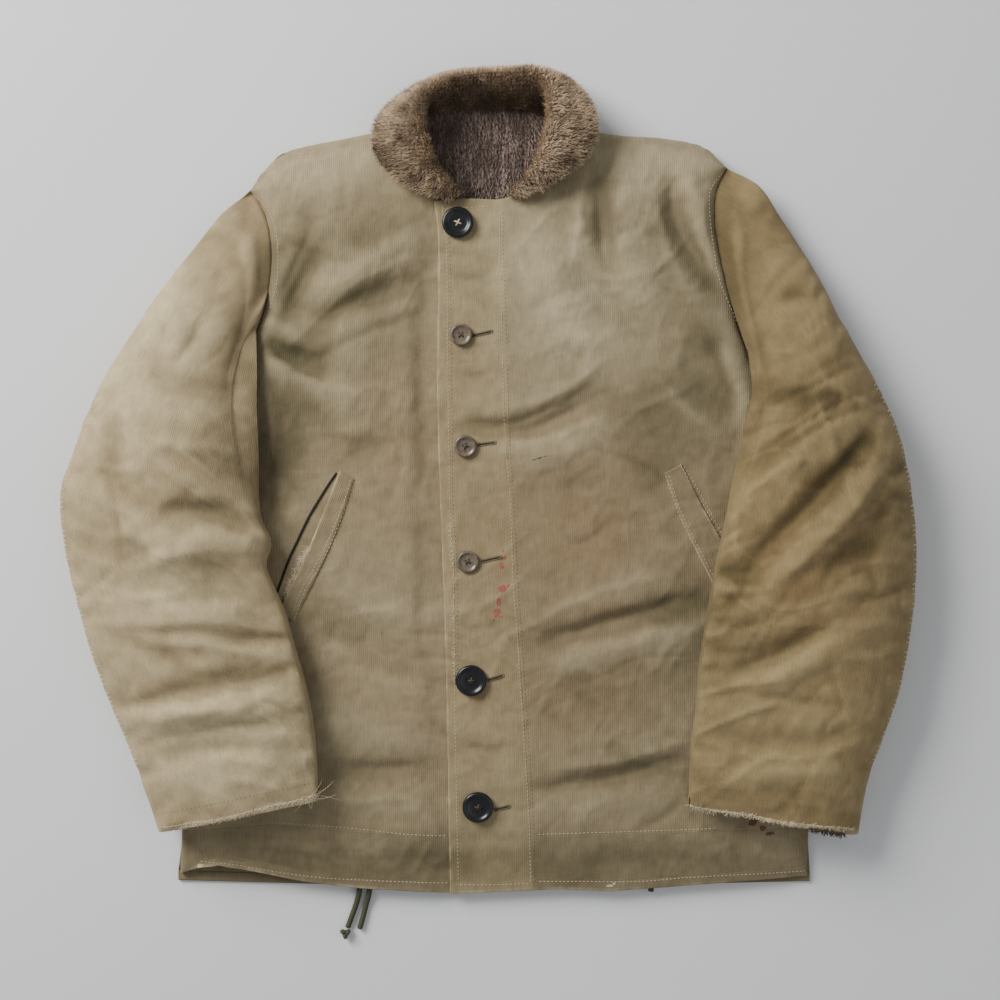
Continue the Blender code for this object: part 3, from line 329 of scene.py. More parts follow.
SLEEVE_LEFT_FOLDS = [
    (212, 196, 226, 172, 250, 200, 11, -4.0, 0.3),
    (258, 196, 241, 156, 228, 79, 9, 5.0, 0.4),
    (259, 160, 274, 165, 290, 167, 9, -3.0, 0.4),
    (336, 45, 302, 1, 228, -77, 13, -6.0, 0.4),
    (349, 16, 309, -37, 239, -99, 14, 4.5, 0.3),
    (302, -126, 261, -151, 215, -168, 11, -5.0, 0.5),
    (314, -142, 266, -170, 217, -188, 12, 4.0, 0.3),
    (201, -90, 222, -92, 252, -88, 9, -3.0, 0.4),
    (345, -59, 318, -72, 292, -81, 9, -3.0, 0.3),
    (248, 86, 274, 68, 318, 73, 16, -4.0, 0.2),
    (187, -226, 248, -235, 327, -230, 11, -3.5, 0.4),
    (191, -257, 248, -264, 318, -261, 10, 2.5, 0.3),
    (302, -130, 261, -155, 215, -172, 4, -2.6, 0.7),
    (336, 41, 302, -3, 228, -81, 5, -2.8, 0.6),
    (349, 11, 309, -42, 239, -104, 5, 2.2, 0.6),
    (330, -200, 270, -196, 200, -186, 4, -1.8, 0.6),
    (340, -230, 280, -246, 200, -242, 4, 1.8, 0.6),
    (259, 156, 274, 161, 290, 163, 4, -2.0, 0.7),
    (200, -80, 225, -84, 250, -80, 4, -1.8, 0.6),
    (198, -102, 222, -106, 250, -101, 4, -1.6, 0.6),
    (196, -126, 220, -130, 246, -126, 4, -1.8, 0.6),
    (194, -150, 216, -154, 240, -150, 4, -1.5, 0.6),
    (380, -90, 350, -104, 320, -108, 4, -1.8, 0.6),
    (370, -150, 340, -158, 300, -156, 4, 1.6, 0.6),
]

# The collar round the neck, from the right front to the left: the foot of the stand, the rolled
# top edge, and the free edge that falls outward
COLLAR = [
    # foot x, y, roll x, y, height, free edge x, y, height, puff of the fall
    (-20, 255, -23, 256, 38, -33, 249, 38, 1),
    (-38, 263, -35, 267, 46, -57, 253, 44, 3),
    (-56, 279, -44, 283, 50, -90, 270, 42, 5),
    (-67, 299, -50, 304, 52, -107, 296, 36, 7),
    (-73, 314, -54, 325, 50, -106, 325, 30, 8),
    (-67, 325, -54, 340, 48, -86, 343, 23, 6),
    (-51, 331, -42, 351, 46, -63, 362, 14, 4),
    (-25, 335, -21, 355, 44, -26, 374, 9, 3),
    (3, 335, 4, 356, 44, 4, 374, 7, 3),
    (30, 335, 29, 359, 46, 32, 376, 9, 3),
    (50, 333, 48, 360, 50, 61, 374, 16, 4),
    (64, 326, 52, 343, 54, 85, 352, 34, 5),
    (70, 311, 50, 320, 56, 101, 324, 46, 7),
    (67, 294, 45, 297, 56, 99, 296, 50, 8),
    (56, 277, 37, 277, 52, 76, 272, 50, 6),
    (40, 263, 28, 263, 46, 50, 259, 46, 3),
    (19, 255, 17, 255, 38, 26, 251, 38, 1),
]

# Pocket welts from the top down: the stitched edge and the edge at the mouth
WELT_RIGHT = [
    # stitched x, y, mouth x, y
    (-120, -1, -133, 7),
    (-131, -35, -152, -41),
    (-149, -78, -170, -82),
    (-175, -129, -190, -122),
]
WELT_LEFT = [
    (159, 5, 174, 13),
    (175, -39, 193, -25),
    (193, -76, 211, -57),
    (208, -106, 224, -90),
]

BUTTONS = [
    # x, y, radius, thickness, material, turn in degrees
    (-27, 230, 14.0, 4.6, "black", 20),
    (-24, 129, 10.0, 3.8, "brown", 8),
    (-20, 29, 10.0, 3.8, "brown", 35),
    (-18, -75, 10.0, 3.8, "brown", 15),
    (-15, -182, 14.0, 4.6, "black", 40),
    (-9, -297, 14.0, 4.6, "black", 30),
]

# The drawcord's free ends out of the hem, resting on the floor: x, y, z
CORD_RADIUS = 2.6
CORD_LONG = [(-115, -356, 6.6), (-116, -368, 6.5), (-118, -379, 5.0), (-121, -390, 2.7), (-126, -404, 2.7),
             (-129, -412, 2.7)]
CORD_SHORT = [(-108, -356, 6.6), (-108, -369, 6.5), (-109, -380, 5.0), (-112, -391, 2.7), (-115, -403, 2.7),
              (-118, -413, 2.7)]
CORD_STUB = [(150, -345, 6.3), (150, -356, 6.3), (150, -368, 6.1), (149, -378, 5.9)]
CORD_KNOT = (-130.6, -416.4, 4.6)

# Lines of stitching on the fronts: x, y
FRONT_STITCHES = [
    [(-41, 246), (-39, 223), (-37, 206), (-36, 125), (-35, 38), (-34, -30), (-31, -74), (-30, -146),
     (-30, -182), (-28, -300), (-27, -366)],
    [(-42, 243), (-16, 244), (2, 245)],
    [(11, 240), (11, 206), (13, 125), (15, 47)],
    [(16, 25), (20, -13), (23, -91), (27, -146), (29, -182), (32, -225), (37, -302), (39, -368)],
    [(-262, -348), (-230, -351), (-186, -359), (-144, -364), (-62, -368), (-36, -369)],
    [(-26, -370), (0, -370), (38, -369)],
    [(46, -367), (90, -367), (138, -367), (190, -363), (291, -358)],
    [(-186, -312), (-125, -317), (-82, -322), (-38, -325)],
    [(45, -323), (192, -318), (207, -316)],
    [(-120, -2), (-124, -15), (-131, -34), (-140, -56), (-152, -81), (-164, -100), (-174, -127)],
    [(-123, -1), (-127, -15), (-134, -34), (-143, -55), (-155, -79), (-167, -99), (-177, -124)],
    [(173, 12), (189, -14), (209, -52)],
    [(176, 11), (192, -15), (211, -50)],
    [(160, 3), (169, -25), (179, -47), (200, -89)],
    [(163, 3), (172, -25), (182, -47), (203, -88)],
    [(-135, 302), (-164, 295), (-181, 292), (-206, 276)],
    [(-135, 299), (-164, 292), (-181, 289), (-203, 273)],
    [(-212, 257), (-200, 244), (-192, 227), (-189, 202), (-191, 172), (-200, 146), (-205, 136)],
    [(213, 278), (202, 262), (200, 247), (202, 220), (207, 185), (216, 161), (226, 138), (236, 110)],
]
# Painted shadow of the stitch rows: dark thread laid beside them, on the side away from the light
STITCH_SHADOWS = [
    [(-38, 246), (-36, 223), (-34, 206), (-33, 125), (-32, 38), (-31, -30), (-28, -74), (-27, -146),
     (-27, -182)],
    [(14, 240), (14, 206), (17, 125), (19, 47), (20, 25), (23, -13), (27, -91), (31, -146), (33, -182),
     (36, -225), (41, -302), (43, -368)],
]
CUFF_STITCHES = {
    "right": [(-291, -299), (-241, -288), (-153, -270)],
    "left": [(181, -280), (254, -290), (328, -301)],
}
# Raw cloth at the cuffs' mouths
CUFF_FRAYS = {
    "right": [(-289, -312), (-276, -310), (-259, -306), (-241, -304), (-221, -299), (-209, -296),
              (-191, -291), (-174, -288), (-150, -281)],
    "left": [(179, -292), (200, -296), (230, -299), (258, -305), (288, -309), (312, -312), (329, -315)],
}
# Slits of the buttonholes, from the button outward
BUTTONHOLES = [
    (-14, 128, 3, 132),
    (-9, 30, 6, 32),
    (-6, -75, 11, -71),
    (0, -182, 13, -178),
    (6, -300, 19, -297),
]
# Marks that lie on the cloth, as thin irregular spots
PAINT_SPOTS = [
    # x, y, radius across, radius along, turn in degrees
    (13.7, -65.3, 1.2, 1.2, 0),
    (15.0, -71.5, 2.2, 1.4, 30),
    (12.4, -78.5, 2.0, 3.4, 12),
    (13.4, -99.5, 4.2, 3.2, 20),
    (18.4, -96.5, 2.2, 1.2, 50),
    (10.0, -111.5, 2.6, 4.6, 8),
    (8.2, -121.0, 3.0, 4.6, -14),
    (12.2, -125.0, 1.8, 1.0, 0),
    (5.0, -127.5, 1.0, 1.0, 0),
]
DARK_SPOTS = [
    (41.5, 16.6, 2.6, 0.5, 14),
    (46.5, 18.2, 3.0, 0.55, 16),
    (51.5, 19.8, 1.6, 0.4, 10),
]
WORN_SPOTS = [
    (-262, -352, 3.4, 1.6, 10),
    (-257, -355, 1.6, 1.0, 0),
    (111, -371, 3.2, 1.2, 4),
    (115, -369, 1.4, 1.0, 30),
]
RUST_SPOTS = [
    (240, -311.6, 4.6, 3.2, 20),
    (249, -317, 3.0, 2.4, 0),
    (256, -322, 4.0, 2.0, 10),
]

# Where the shell is faded, darkened or browned: soft round patches. The paler patches are partly sun-fading
# and partly painted highlight on the shoulders and upper sleeves; the darker ones are partly dirt and partly
# painted shade beside the sleeves and armholes and below the collar.
FADED_AND_PAINTED_HIGHLIGHT = [
    # x, y, reach along x, reach along y, amount
    (75, 148, 62, 60, 0.75),
    (40, 210, 40, 60, 0.45),
    (-150, 285, 60, 25, 0.3),
    (150, 280, 70, 28, 0.45),
    (-290, 150, 40, 60, 0.55),
    (-330, 60, 40, 60, 0.3),
    (260, -220, 80, 60, 0.55),
    (-230, -240, 80, 50, 0.9),
    (-270, -95, 70, 50, 0.6),
    (-290, 110, 50, 80, 0.5),
    (-100, -100, 60, 80, 0.25),
]
# Darker patches: dirt, and painted shade beside the sleeves and armholes and below the collar
DIRT_AND_PAINTED_SHADE = [
    (-190, 60, 40, 80, 0.7),
    (-240, 0, 40, 80, 0.6),
    (195, 120, 40, 90, 0.8),
    (150, 40, 40, 60, 0.5),
    (185, -130, 50, 70, 0.6),
    (-170, -230, 60, 50, 0.5),
    (-125, 212, 60, 22, 0.45),
    (-130, 160, 60, 18, 0.40),
    (-150, 120, 60, 22, 0.45),
    (130, 230, 40, 60, 0.4),
    (0, -350, 300, 22, 0.5),
    (150, -250, 80, 50, 0.4),
    (110, -170, 80, 30, 0.3),
    (290, 60, 60, 60, 0.45),
    (335, -20, 50, 80, 0.45),
    (-182, 190, 24, 70, 0.6),
    (208, 200, 22, 70, 0.6),
]
BROWNED = [
    (85, -50, 80, 110, 0.9),
    (90, -190, 80, 70, 0.7),
    (-85, 0, 55, 90, 0.7),
    (-100, -180, 60, 90, 0.5),
    (-20, -60, 40, 200, 0.4),
    (-270, 40, 70, 90, 0.45),
    (290, 10, 70, 90, 0.5),
    (270, -90, 60, 50, 0.7),
    (300, -230, 50, 50, 0.5),
    (-210, 240, 30, 40, 0.5),
]

# Colours of the surfaces
SHELL = (0.290, 0.228, 0.130)
# Paler shell for fading, worn ridges and painted highlight
SHELL_FADED = (0.428, 0.354, 0.216)
# Darker shell for dirt and painted shade
SHELL_DARK = (0.098, 0.080, 0.040)
SHELL_BROWN = (0.270, 0.192, 0.104)
THREAD_PALE = (0.560, 0.460, 0.300)
THREAD_SHADED = (0.200, 0.155, 0.090)
THREAD_DARK = (0.070, 0.052, 0.032)
FLOOR = (0.800, 0.795, 0.785)


def along(points, shares):
    """Places at the given shares of the length of a smooth curve through the points."""
    knots = np.array(points, float)
    ends = [2 * knots[0] - knots[1]], [2 * knots[-1] - knots[-2]]
    padded = np.vstack([ends[0], knots, ends[1]])
    t = np.linspace(0.0, 1.0, CURVE_STEPS, endpoint=False)[:, None]
    runs = []
    for a, b, c, d in zip(padded, padded[1:], padded[2:], padded[3:]):
        cubic = 3 * b - a - 3 * c + d
        square = 2 * a - 5 * b + 4 * c - d
        runs.append(b + 0.5 * ((c - a) * t + square * t**2 + cubic * t**3))
    path = np.vstack(runs + [knots[-1:]])
    run = np.concatenate([[0.0], np.cumsum(np.linalg.norm(np.diff(path, axis=0), axis=1))])
    wanted = np.asarray(shares) * run[-1]
    return np.column_stack([np.interp(wanted, run, path[:, k]) for k in range(path.shape[1])])


def length_of(points):
    """Length of a line through the points."""
    return float(np.linalg.norm(np.diff(np.asarray(points, float), axis=0), axis=1).sum())


def ease(share):
    """Rises smoothly from 0 to 1."""
    share = np.clip(share, 0.0, 1.0)
    return share * share * (3.0 - 2.0 * share)


def noise(x, y, size, seed):
    """Smooth noise from -1 to 1, with hills about one size apart."""
    table = np.random.default_rng(seed).uniform(-1.0, 1.0, (97, 97))
    u, v = x / size + 17.3, y / size + 31.7
    i, j = np.floor(u).astype(int), np.floor(v).astype(int)
    a, b = ease(u - i), ease(v - j)
    low = table[i % 97, j % 97] * (1 - a) + table[(i + 1) % 97, j % 97] * a
    high = table[i % 97, (j + 1) % 97] * (1 - a) + table[(i + 1) % 97, (j + 1) % 97] * a
    return low * (1 - b) + high * b


def crumple(x, y, seed, coarse=0.6, fine=0.3):
    """Small unevenness of worn cloth, in millimetres."""
    total = coarse * noise(x, y, 34.0, seed) + 0.6 * coarse * noise(x + 0.4 * y, y, 19.0, seed + 1)
    total += fine * noise(x - 0.3 * y, y, 10.0, seed + 2) + 0.5 * fine * noise(x, y, 5.5, seed + 3)
    return total


def wrinkled(x, y, seed, long, short, turn):
    """Narrow creases that run in one main direction and come and go over the cloth, from 0 to 1."""
    angle = math.radians(turn)
    along_it = x * math.cos(angle) + y * math.sin(angle)
    across_it = y * math.cos(angle) - x * math.sin(angle)
    bend = noise(x, y, 1.1 * long, seed + 5)
    line = noise(along_it / long + 0.5 * bend, across_it / short + 1.1 * bend, 1.0, seed)
    crest = np.clip(1.0 - 2.6 * np.abs(line), 0.0, 1.0)
    where = ease(0.5 + 0.9 * noise(x, y, 1.3 * long, seed + 6))
    return crest**1.5 * where


def beside(x, y, line):
    """Distance of each place from a line, and how far along the line it is."""
    line = np.asarray(line, float)
    best = np.full(np.shape(x), 1e9)
    place = np.zeros(np.shape(x))
    done = 0.0
    for start, end in zip(line, line[1:]):
        span = end - start
        size = np.hypot(*span[:2])
        if size < 1e-9:
            continue
        share = ((x - start[0]) * span[0] + (y - start[1]) * span[1]) / size**2
        share = np.clip(share, 0.0, 1.0)
        gap = np.hypot(x - start[0] - share * span[0], y - start[1] - share * span[1])
        closer = gap < best
        best = np.where(closer, gap, best)
        place = np.where(closer, done + share * size, place)
        done += size
    return best, place


def folds(x, y, table):
    """The height that a table of ridges and troughs adds at each place."""
    total = np.zeros(np.shape(x))
    shares = np.linspace(0.0, 1.0, 13)
    for x0, y0, x1, y1, x2, y2, width, height, sharp in table:
        bend = along([(x0, y0), (x1, y1), (x2, y2)], shares)
        low, high = bend.min(axis=0) - 3 * width, bend.max(axis=0) + 3 * width
        near = (x > low[0]) & (x < high[0]) & (y > low[1]) & (y < high[1])
        if not near.any():
            continue
        px, py = x[near], y[near]
        wobble = 0.35 * width * noise(px, py, 3.0 * width, int(abs(x0) + 7 * abs(y0)))
        gap, place = beside(px + wobble, py + wobble, bend)
        fade = np.sin(math.pi * (0.04 + 0.92 * place / length_of(bend))) ** 0.7
        power = 2.0 - 0.9 * sharp
        total[near] += height * fade * np.exp(-((gap / width) ** power))
    return total


def border_line(plan):
    """The fronts' outline, point by point, with the height of its edge and the width of its rounding."""
    outline = np.vstack([plan[::5, 0], plan[-1, 1::5], plan[::-5, -1], plan[0, ::-5]])
    table = np.array(BORDER + BORDER[:1], float)
    best = np.full(len(outline), 1e9)
    values = np.zeros((len(outline), 2))
    for a, b in zip(table, table[1:]):
        span = b - a
        share = np.clip(((outline - a[:2]) * span[:2]).sum(axis=1) / (span[:2] ** 2).sum(), 0.0, 1.0)
        gap = np.linalg.norm(outline - a[:2] - share[:, None] * span[:2], axis=1)
        closer = gap < best
        best = np.where(closer, gap, best)
        values = np.where(closer[:, None], a[2:] + share[:, None] * span[2:], values)
    return np.column_stack([outline, values])


def body_height(x, y, border):
    """Height of the fronts' outer face: rounded at its border, flat over the linings, and folded."""
    gaps = [np.hypot(x - px, y - py) for px, py in border[:, :2]]
    gap = np.minimum.reduce(gaps)
    weight = np.zeros(np.shape(x))
    edge = np.zeros(np.shape(x))
    width = np.zeros(np.shape(x))
    for away, row in zip(gaps, border):
        near = np.exp(-(away - gap) / BORDER_BLEND)
        weight += near
        edge += near * row[2]
        width += near * row[3]
    edge /= weight
    width /= weight
    for a, b in zip(border, np.roll(border, -1, axis=0)):
        span = b[:2] - a[:2]
        size = (span**2).sum()
        if size > 1e-9:
            share = np.clip(((x - a[0]) * span[0] + (y - a[1]) * span[1]) / size, 0.0, 1.0)
            gap = np.minimum(gap, np.hypot(x - a[0] - share * span[0], y - a[1] - share * span[1]))
    inward = np.clip(gap / width, 0.0, 1.0)
    rounding = np.sqrt(1.0 - (1.0 - inward) ** 2)
    plateau = np.interp(y, [row[0] for row in PLATEAU], [row[1] for row in PLATEAU])
    lying = edge + (plateau - edge) * rounding
    folded = lying + FOLD_DEPTH * folds(x, y, BODY_FOLDS) * rounding
    settled_height = np.maximum(folded, np.minimum(lying, LOWEST_TOP))
    detail = crumple(x, y, 11, 0.5, 0.25) + folds(x, y, BODY_CREASES)
    detail += 1.0 * wrinkled(x, y, 111, 75.0, 26.0, 25.0) - 0.9 * wrinkled(x, y, 121, 60.0, 22.0, -20.0)
    detail += 0.7 * wrinkled(x, y, 131, 42.0, 14.0, 70.0) - 0.6 * wrinkled(x, y, 141, 34.0, 11.0, 5.0)
    return settled_height + detail * np.clip(rounding, 0.25, 1.0)


def spaced(length, cell, first=(), last=()):
    """Shares of a length: lines close together at its ends and even cells between."""
    start = [0.0] + list(first)
    end = [length - step for step in reversed(list(last))] + [length]
    count = max(1, round((end[0] - start[-1]) / cell))
    middle = np.linspace(start[-1], end[0], count + 1)
    return np.concatenate([start[:-1], middle, end[1:]]) / length


# Extra lines beside the seams and free edges, in millimetres from them
NEAR_SEAM = (0.7, 1.5, 2.6, 4.2)
NEAR_EDGE = (0.6, 1.4, 2.6, 4.2)
CELL = 2.6
COLUMN_SHARES = {
    "right_front": spaced(232.0, CELL, NEAR_EDGE, NEAR_EDGE),
    "lap": spaced(50.0, 3.0, NEAR_EDGE, ()),
    "placket_edge": spaced(25.0, 2.2, (), NEAR_SEAM),
    "left_front": spaced(255.0, CELL, NEAR_SEAM, NEAR_EDGE),
}
ROW_SHARES = {
    "binding": spaced(BINDING, 1.6, (0.5, 1.1), (0.8,)),
    "band": spaced(42.0, CELL, (0.7, 1.6), NEAR_SEAM),
    "front": spaced(600.0, CELL, NEAR_SEAM, NEAR_EDGE),
}


def seam_line(points, armhole=()):
    """One upright seam of the fronts at every row of the grid, from the hem up."""
    path = along(points, np.linspace(0.0, 1.0, 300))
    if armhole:
        # The underarm is a corner, so the armhole is a curve of its own
        path = np.vstack([path, along([points[-1]] + list(armhole), np.linspace(0.0, 1.0, 160))[1:]])
    hem_y = 0.0
    for _ in range(4):
        hem_x = np.interp(hem_y, path[:, 1], path[:, 0])
        hem_y = np.interp(hem_x, *np.array(HEM, float).T)
    band_y = np.interp(np.interp(-320.0, path[:, 1], path[:, 0]), *np.array(BAND_SEAM, float).T)
    low = [hem_y + BINDING * ROW_SHARES["binding"][:-1],
           hem_y + BINDING + (band_y - hem_y - BINDING) * ROW_SHARES["band"][:-1]]
    y = np.concatenate(low)
    low_points = np.column_stack([np.interp(y, path[:, 1], path[:, 0]), y])
    start = (np.interp(band_y, path[:, 1], path[:, 0]), band_y)
    upper = [start] + [tuple(point) for point in path[path[:, 1] > band_y + 1.0]]
    high_points = along(upper, ROW_SHARES["front"])
    return np.vstack([low_points, high_points])


def coons(left, right, bottom, top, u, v):
    """Fills a four-sided patch between its edges; rows run from bottom to top."""
    v = v[:, None, None]
    u = u[None, :, None]
    across = (1 - u) * left[:, None, :] + u * right[:, None, :]
    upward = (1 - v) * bottom[None, :, :] + v * top[None, :, :]
    corners = ((1 - u) * (1 - v) * bottom[0] + u * (1 - v) * bottom[-1]
               + (1 - u) * v * top[0] + u * v * top[-1])
    return across + upward - corners


def level_line(table, start, end, shares):
    """A level seam between two upright ones; its y comes from the table."""
    x = start[0] + (end[0] - start[0]) * shares
    y = np.interp(x, *np.array(table, float).T)
    y += (1 - shares) * (start[1] - y[0]) + shares * (end[1] - y[-1])
    return np.column_stack([x, y])


TAPE_ROW = len(ROW_SHARES["binding"]) - 1
BAND_ROW = TAPE_ROW + len(ROW_SHARES["band"]) - 1
EDGE_COLUMN = len(COLUMN_SHARES["right_front"]) - 1
LAP_COLUMN = EDGE_COLUMN + len(COLUMN_SHARES["lap"]) - 1
SEAM_COLUMN = LAP_COLUMN + len(COLUMN_SHARES["placket_edge"]) - 1


def body_grid():
    """Plan of the whole front: one grid that all of its pieces share."""
    uprights = [seam_line(SIDE_RIGHT, ARMHOLE_RIGHT), seam_line(PLACKET_EDGE), seam_line(LAP_EDGE),
                seam_line(PLACKET_SEAM), seam_line(SIDE_LEFT, ARMHOLE_LEFT)]
    tops = [TOP_RIGHT, TOP_LAP, TOP_EDGE, TOP_LEFT]
    blocks = []
    for left, right, top, u in zip(uprights, uprights[1:], tops, COLUMN_SHARES.values()):
        hem = level_line(HEM, left[0], right[0], u)
        tape = level_line([(x, y + BINDING) for x, y in HEM], left[TAPE_ROW], right[TAPE_ROW], u)
        seam = level_line(BAND_SEAM, left[BAND_ROW], right[BAND_ROW], u)
        upper = along([tuple(left[-1])] + list(top[1:-1]) + [tuple(right[-1])], u)
        parts = [coons(left[:TAPE_ROW + 1], right[:TAPE_ROW + 1], hem, tape, u, ROW_SHARES["binding"])[:-1],
                 coons(left[TAPE_ROW:BAND_ROW + 1], right[TAPE_ROW:BAND_ROW + 1], tape, seam, u,
                       ROW_SHARES["band"])[:-1],
                 coons(left[BAND_ROW:], right[BAND_ROW:], seam, upper, u, ROW_SHARES["front"])]
        blocks.append(np.vstack(parts))
    columns = [block[:, :-1] for block in blocks[:-1]] + [blocks[-1]]
    return np.concatenate(columns, axis=1)


def patches(x, y, table):
    """How strongly a table of soft patches marks each place, from 0 to 1."""
    left = np.ones(np.shape(x))
    for px, py, reach_x, reach_y, amount in table:
        spread = ((x - px) / reach_x) ** 2 + ((y - py) / reach_y) ** 2
        left *= 1.0 - np.clip(amount, 0.0, 1.0) * np.exp(-spread)
    return 1.0 - left


def wear_and_painted_light(x, y, worn=None):
    """Faded, darkened and browned shares at each place, and the wear of its edges. The faded share holds
    painted highlight too, the darkened share painted shade.
    """
    shift_x = 14.0 * noise(x, y, 45.0, 71)
    shift_y = 14.0 * noise(x, y, 45.0, 72)
    marks = [patches(x + shift_x, y + shift_y, table) for table in (FADED_AND_PAINTED_HIGHLIGHT, DIRT_AND_PAINTED_SHADE, BROWNED)]
    rubbed = np.clip(0.45 + 0.6 * noise(x, y, 17.0, 73) + 0.5 * noise(x, y, 4.5, 74), 0.0, 1.0)
    marks.append(np.zeros(np.shape(x)) if worn is None else worn * rubbed)
    return np.stack(marks, axis=-1)


def fold_wear_and_shade(marks, height, reach, rubbed, trough_shade):
    """Wear and painted light that follow the folds: a higher rubbed pales the ridges, as wear and painted
    highlight; the last argument darkens the troughs with painted shade.
    """
    wide = height.copy()
    for _ in range(2):
        for axis in (0, 1):
            sums = np.cumsum(np.pad(wide, [(reach + 1, reach) if k == axis else (0, 0) for k in (0, 1)],
                                    mode="edge"), axis=axis)
            count = wide.shape[axis]
            upper = np.take(sums, np.arange(count) + 2 * reach + 1, axis=axis)
            lower = np.take(sums, np.arange(count), axis=axis)
            wide = (upper - lower) / (2 * reach + 1)
    step = height - wide
    marks = marks.copy()
    inside = np.zeros(height.shape)
    inside[reach:-reach, reach:-reach] = 1.0
    # Paler ridges: wear and painted highlight
    marks[..., 0] = np.clip(marks[..., 0] + rubbed * np.clip(step / 2.0, 0.0, 1.0), 0.0, 1.0)
    # Darker troughs: painted shade
    marks[..., 1] = np.clip(marks[..., 1] + trough_shade * inside * np.clip(-step / 1.6, 0.0, 1.0), 0.0, 1.0)
    return marks


# Every grid carries position, cloth coordinates, and wear with painted light and shade side by side
POSITION, CLOTH_UV, WEAR_AND_PAINTED_LIGHT = np.s_[..., 0:3], np.s_[..., 3:5], np.s_[..., 5:9]


def carried(points, uv, marks):
    """One array with the position, cloth coordinates, and wear with painted light and shade of each point."""
    return np.concatenate([points, uv, marks], axis=-1)


def with_rim(grid, side, steps):
    """The grid with more lines beyond one border: each is further outward and further down."""
    turned = {"left": grid, "right": grid[:, ::-1], "bottom": grid.transpose(1, 0, 2),
              "top": grid.transpose(1, 0, 2)[:, ::-1]}[side]
    edge, inner = turned[:, 0], turned[:, 2]
    outward = edge[:, :2] - inner[:, :2]
    outward /= np.maximum(np.linalg.norm(outward, axis=1, keepdims=True), 1e-6)
    lines = []
    travelled = 0.0
    before = (0.0, 0.0)
    for out, down in steps:
        travelled += math.hypot(out - before[0], down - before[1])
        before = (out, down)
        line = edge.copy()
        line[:, 0:2] += outward * out
        line[:, 2] -= down
        line[:, 3] += travelled * (-1 if side in ("left",) else 1) * (side in ("left", "right"))
        line[:, 4] += travelled * (-1 if side in ("bottom",) else 1) * (side in ("bottom", "top"))
        lines.append(line)
    turned = np.concatenate([np.stack(lines[::-1], axis=1), turned], axis=1)
    return {"left": turned, "right": turned[:, ::-1], "bottom": turned.transpose(1, 0, 2),
            "top": turned[:, ::-1].transpose(1, 0, 2)}[side]


def mesh_from(name, points, faces, smooth=True):
    """A mesh from arrays of points in millimetres and faces of equal size."""
    mesh = bpy.data.meshes.new(name)
    faces = np.asarray(faces, np.int32)
    corners = faces.shape[1]
    mesh.vertices.add(len(points))
    mesh.vertices.foreach_set("co", (np.asarray(points) * MM).astype(np.float32).ravel())
    mesh.loops.add(faces.size)
    mesh.loops.foreach_set("vertex_index", faces.ravel())
    mesh.polygons.add(len(faces))
    mesh.polygons.foreach_set("loop_start", np.arange(0, faces.size, corners, dtype=np.int32))
    mesh.polygons.foreach_set("use_smooth", np.full(len(faces), smooth))
    mesh.update(calc_edges=True)
    return mesh


def put(name, mesh, surface, replaced=(), slot=None):
    """Puts a mesh in the scene, riding on the jacket."""
    piece = bpy.data.objects.new(name, mesh)
    bpy.context.scene.collection.objects.link(piece)
    mesh.materials.append(surface)
    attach(piece, "root")
    if replaced:
        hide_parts(*replaced)
    return piece


def shell(name, grid, surface, replaced=(), slot=None, ring=False, flip=False):
    """A sheet of cloth over a grid of points, with its cloth coordinates and its wear, painted highlight and
    painted shade.
    """
    rows, columns = grid.shape[:2]
    points = grid[POSITION].reshape(-1, 3)
    index = np.arange(rows * columns).reshape(rows, columns)
    if ring:
        index = np.concatenate([index, index[:, :1]], axis=1)
    faces = np.stack([index[:-1, :-1], index[:-1, 1:], index[1:, 1:], index[1:, :-1]], axis=-1).reshape(-1, 4)
    if flip:
        faces = faces[:, ::-1]
    mesh = mesh_from(name, points, faces)
    marks = mesh.attributes.new("wear_and_painted_light", "FLOAT_COLOR", "POINT")
    marks.data.foreach_set("color", grid[WEAR_AND_PAINTED_LIGHT].reshape(-1).astype(np.float32))
    uv = mesh.uv_layers.new(name="cloth")
    uv.data.foreach_set("uv", (grid[CLOTH_UV].reshape(-1, 2)[faces.ravel()] * MM).astype(np.float32).ravel())
    piece = put(name, mesh, surface, replaced, slot)
    return piece


def nodes_of(name):
    """A new node material: its tree and its main shader."""
    surface = bpy.data.materials.new(name)
    surface.use_nodes = True
    return surface, surface.node_tree, surface.node_tree.nodes["Principled BSDF"]


def node(tree, kind, links=(), **settings):
    """Adds a node; links is a list of (input, value or output socket)."""
    made = tree.nodes.new(kind)
    for key, value in settings.items():
        setattr(made, key, value)
    for key, value in links:
        if isinstance(value, bpy.types.NodeSocket):
            tree.links.new(value, made.inputs[key])
        else:
            made.inputs[key].default_value = value
    return made


def maths(tree, operation, *values):
    """The output of a math node."""
    return node(tree, "ShaderNodeMath", list(enumerate(values)), operation=operation).outputs[0]


def mixed(tree, share, first, second, blend="MIX"):
    """The colour output of a mix of two colours."""
    made = node(tree, "ShaderNodeMix", data_type="RGBA", blend_type=blend)
    for socket, value in ((made.inputs[0], share), (made.inputs[6], first), (made.inputs[7], second)):
        if isinstance(value, bpy.types.NodeSocket):
            tree.links.new(value, socket)
        else:
            socket.default_value = (*value, 1.0) if isinstance(value, tuple) else value
    return made.outputs[2]


